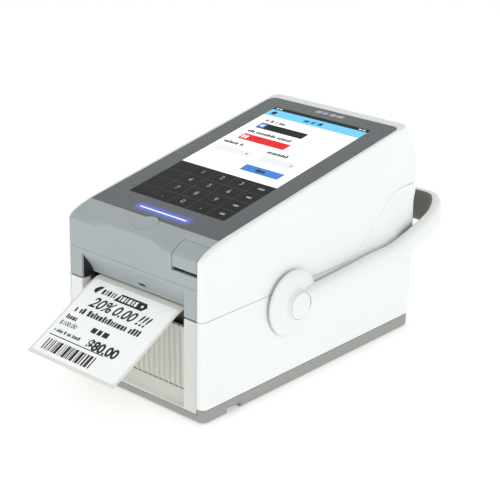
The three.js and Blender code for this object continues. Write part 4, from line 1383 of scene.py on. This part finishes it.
def handle_stations(first, arm_steps=60, bend_steps=22, bar_steps=16):
    """Points in plan along the handle, each with the way out from the case."""
    right = [(ARM_X, y, 1.0, 0.0) for y in spread(first, BAR_Y - BEND, arm_steps)]
    for i in range(1, bend_steps + 1):
        a = math.pi / 2 * i / bend_steps
        c, s = math.cos(a), math.sin(a)
        right.append((ARM_X - BEND + BEND * c, BAR_Y - BEND + BEND * s, c, s))
    span = ARM_X - BEND
    bar = [(span - 2 * span * i / bar_steps, BAR_Y, 0.0, 1.0) for i in range(1, bar_steps)]
    left = [(-x, y, -nx, ny) for x, y, nx, ny in reversed(right)]
    return right + bar + left


def handle_sweep(n0, n1, drop, first, sides=40):
    """The handle's section from n0 to n1 outwards, lower by drop than the handle above and below."""
    middle_n, reach = (n0 + n1) / 2, (n1 - n0) / 2
    rings = []
    for x, y, nx, ny in handle_stations(first):
        widening = smoothstep(92, 114, y)
        half = lerp(ARM_HALF, BAR_HALF, widening) - drop
        squareness = lerp(0.8, 0.5, widening)
        ring = []
        for i in range(sides):
            a = 2 * math.pi * i / sides
            c, s = math.cos(a), math.sin(a)
            n = middle_n + reach * math.copysign(abs(c) ** 0.72, c)
            h = (half if s > 0 else half + UNDERHANG * widening) * math.copysign(abs(s) ** squareness, s)
            ring.append((x + nx * n, y + ny * n, hermite(ARM_HEIGHTS, y) + h))
        rings.append(ring)
    return loft(rings)


def handle_bail():
    disc = [(0, 67.4), (22.6, 67.4), (23.1, 67.6), (23.4, 68.0), (23.5, 68.5), (23.35, 69.0), (22.9, 69.5),
            (21.7, 70.2), (19.5, 70.95), (17, 71.6), (14.5, 72.1), (12.6, 72.5), (11.5, 72.9), (10.9, 73.5),
            (10.65, 74.3), (10.5, 75.0), (10.25, 75.5), (9.9, 75.75), (0, 75.9)]
    adds = [lathe_x(disc, PIVOT, side, 120) for side, name in SIDES]
    bore = [(0, 60), (5.06, 60), (5.06, 73.5), (9.8, 73.5), (9.8, 80), (0, 80)]
    cuts = [handle_sweep(-9.5, BED_OUT, 0.35, BED_FROM)]
    cuts += [lathe_x(bore, PIVOT, side, 96) for side, name in SIDES]
    bail = handle_sweep(HANDLE_IN, HANDLE_OUT, 0, PIVOT.y)
    return piece("carry_handle", bail, HANDLE_WHITE, "handle", ["handle_bail"], cuts, adds)


def handle_lining():
    lining = handle_sweep(HANDLE_IN, 2.45, 0.5, BED_FROM + 0.5)
    return piece("grip_lining", lining, LINING_BROWN, "handle", ["handle_lining"])


def pivot_caps():
    profile = [(0, 73.8), (9.5, 73.8), (9.55, 75.7), (9.4, 76.1), (9.0, 76.35), (8.2, 76.5), (7.2, 76.55),
               (4, 76.75), (0, 76.8)]
    for side, name in SIDES:
        piece(f"cap_{name}", lathe_x(profile, PIVOT, side, 96), HANDLE_WHITE, "handle",
              [f"pivot_cap_{name}"])


# ---------- inside ----------
def head_springs():
    """The coil springs over the print head. The real ones shorten as it lifts; these keep one length."""
    wire, turns, per_turn, travel = 0.5, 6, 28, 1.2
    for side in ("left", "right"):
        low, high = case_box(f"head_spring_{side}")
        centre = (low + high) / 2
        radius = (high.x - low.x) / 2 - wire
        steps = turns * per_turn
        rings = []
        for i in range(steps + 1):
            a = 2 * math.pi * i / per_turn
            z = lerp(low.z + wire, high.z - wire, i / steps)
            section = [2 * math.pi * k / 10 for k in range(10)]
            ring = [(radius + wire * math.cos(b), z + wire * math.sin(b)) for b in section]
            rings.append([(centre.x + r * math.cos(a), centre.y + r * math.sin(a), h) for r, h in ring])
        spring = piece(f"lift_spring_{side}", loft(rings), STEEL, "lid", [f"head_spring_{side}"])
        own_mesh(spring)


def both(stem):
    return [f"{stem}_{name}" for side, name in SIDES]


def inside():
    """Gives every CAD node that stays its material, and softens the edges of the boxy ones."""
    softened = {
        STEEL: both("chassis") + ["sensor_rail", "head_carrier", "usb_port", "lan_port"],
        TURNED_STEEL: ["web_guide_bar"],
        BLACK: ["lcd_module", "dc_inlet", "drive_motor", "gap_sensor", "media_tray"],
        RUBBER: ["platen_roller"],
    }
    plain = {
        STEEL: ["latch_shaft"] + [f"base_screw_{corner}" for corner in FEET],
        TURNED_STEEL: ["platen_shaft", "idler_pin"] + both("hinge_pin") + both("pivot_stud"),
        ALUMINIUM: ["print_head"],
        BRASS: both("bearing") + ["motor_pinion"],
        NYLON: ["platen_gear", "idler_gear", "guide_pinion"],
        BLACK: ["tear_bar"] + both("guide"),
        BOARD: ["main_board", "display_board"],
        CARD: ["roll_core"],
        LINER: ["media_roll"],
    }
    for finishes in (softened, plain):
        for material, names in finishes.items():
            for node in [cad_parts[name] for name in names]:
                node.data.materials.clear()
                node.data.materials.append(material)
                if finishes is softened:
                    bevel = node.modifiers.new("edges", "BEVEL")
                    bevel.width = 0.25 * MM
                    bevel.segments = 2
                    bevel.limit_method = "ANGLE"
                    bevel.angle_limit = math.radians(40)


# ---------- room, light and camera ----------
def studio():
    """A pale floor that curves up into a wall behind the object. Its sizes are in metres."""
    white = new_material("floor_white")
    tone = mixed(white, ranged(white, noise(white, 300, 2), 0, 1), (0.86, 0.87, 0.87), (0.88, 0.885, 0.885))
    glow = {"Base Color": tone, "Emission Color": tone, "Emission Strength": 0.42, "Roughness": 0.9}
    finished(white, glow)
    far, rise, radius, half = 2.2, 6.0, 1.2, 16.0
    profile = [(-half, 0.0), (far, 0.0)]
    profile += [(far + radius * math.sin(a), radius - radius * math.cos(a))
                for a in spread(0, math.pi / 2, 16, 1)]
    profile.append((far + radius, rise))
    turn = Matrix.Rotation(math.radians(CAMERA_TURN), 3, "Z")
    mesh = bpy.data.meshes.new("floor")
    points = [turn @ Vector((x, y, z)) for y, z in profile for x in (-half, half)]
    faces = [(2 * i, 2 * i + 1, 2 * i + 3, 2 * i + 2) for i in range(len(profile) - 1)]
    mesh.from_pydata(points, [], faces)
    for polygon in mesh.polygons:
        polygon.use_smooth = True
    mesh.materials.append(white)
    floor = added("floor", mesh)


def aimed(thing, at, target):
    thing.location = at
    thing.rotation_mode = "QUATERNION"
    thing.rotation_quaternion = (Vector(target) - Vector(at)).to_track_quat("-Z", "Y")


def area_light(name, at, target, size, watts):
    light = bpy.data.lights.new(name, "AREA")
    light.shape = "RECTANGLE"
    light.size, light.size_y = size
    light.energy = watts
    aimed(added(name, light), at, target)


CAMERA_TURN = 42.78  # how far round to the right of the front the camera stands, in degrees
EYE, TARGET = (666.56, -737.06, 457.01), (-15.46, 0, 62.69)  # in the case frame


def camera():
    data = bpy.data.cameras.new("camera")
    data.sensor_width = 36.0
    data.lens = 106.09
    data.clip_start, data.clip_end = 0.05, 50
    eye = added("camera", data)
    aimed(eye, place(EYE), place(TARGET))
    bpy.context.scene.camera = eye


def lighting():
    world = bpy.data.worlds.new("studio")
    bpy.context.scene.world = world
    world.use_nodes = True
    background = world.node_tree.nodes["Background"]
    background.inputs["Color"].default_value = (0.98, 0.99, 1.0, 1)
    background.inputs["Strength"].default_value = 0.5
    centre = (0, 0, 0.08)
    area_light("key", (0.9, -0.7, 1.5), centre, (1.1, 1.1), 2.6)
    area_light("side", (1.75, 0.2, 0.45), centre, (1.0, 0.7), 7.6)
    area_light("front", (-0.2, -1.8, 0.5), centre, (1.0, 0.7), 7.5)
    area_light("top", (-0.2, 0.3, 1.8), centre, (1.4, 1.4), 1.5)
    bpy.context.scene.view_settings.view_transform = "Standard"


camera()
studio()
lighting()
base_pan()
feet()
lower_case()
front_panel()
lid_cover()
front_bezel()
mouth_shade_plates()
release_button()
power_button()
cover_glass()
light_bar()
screen()
frame_badge()
liner_web()
printed_label()
handle_bail()
handle_lining()
pivot_caps()
head_springs()
inside()
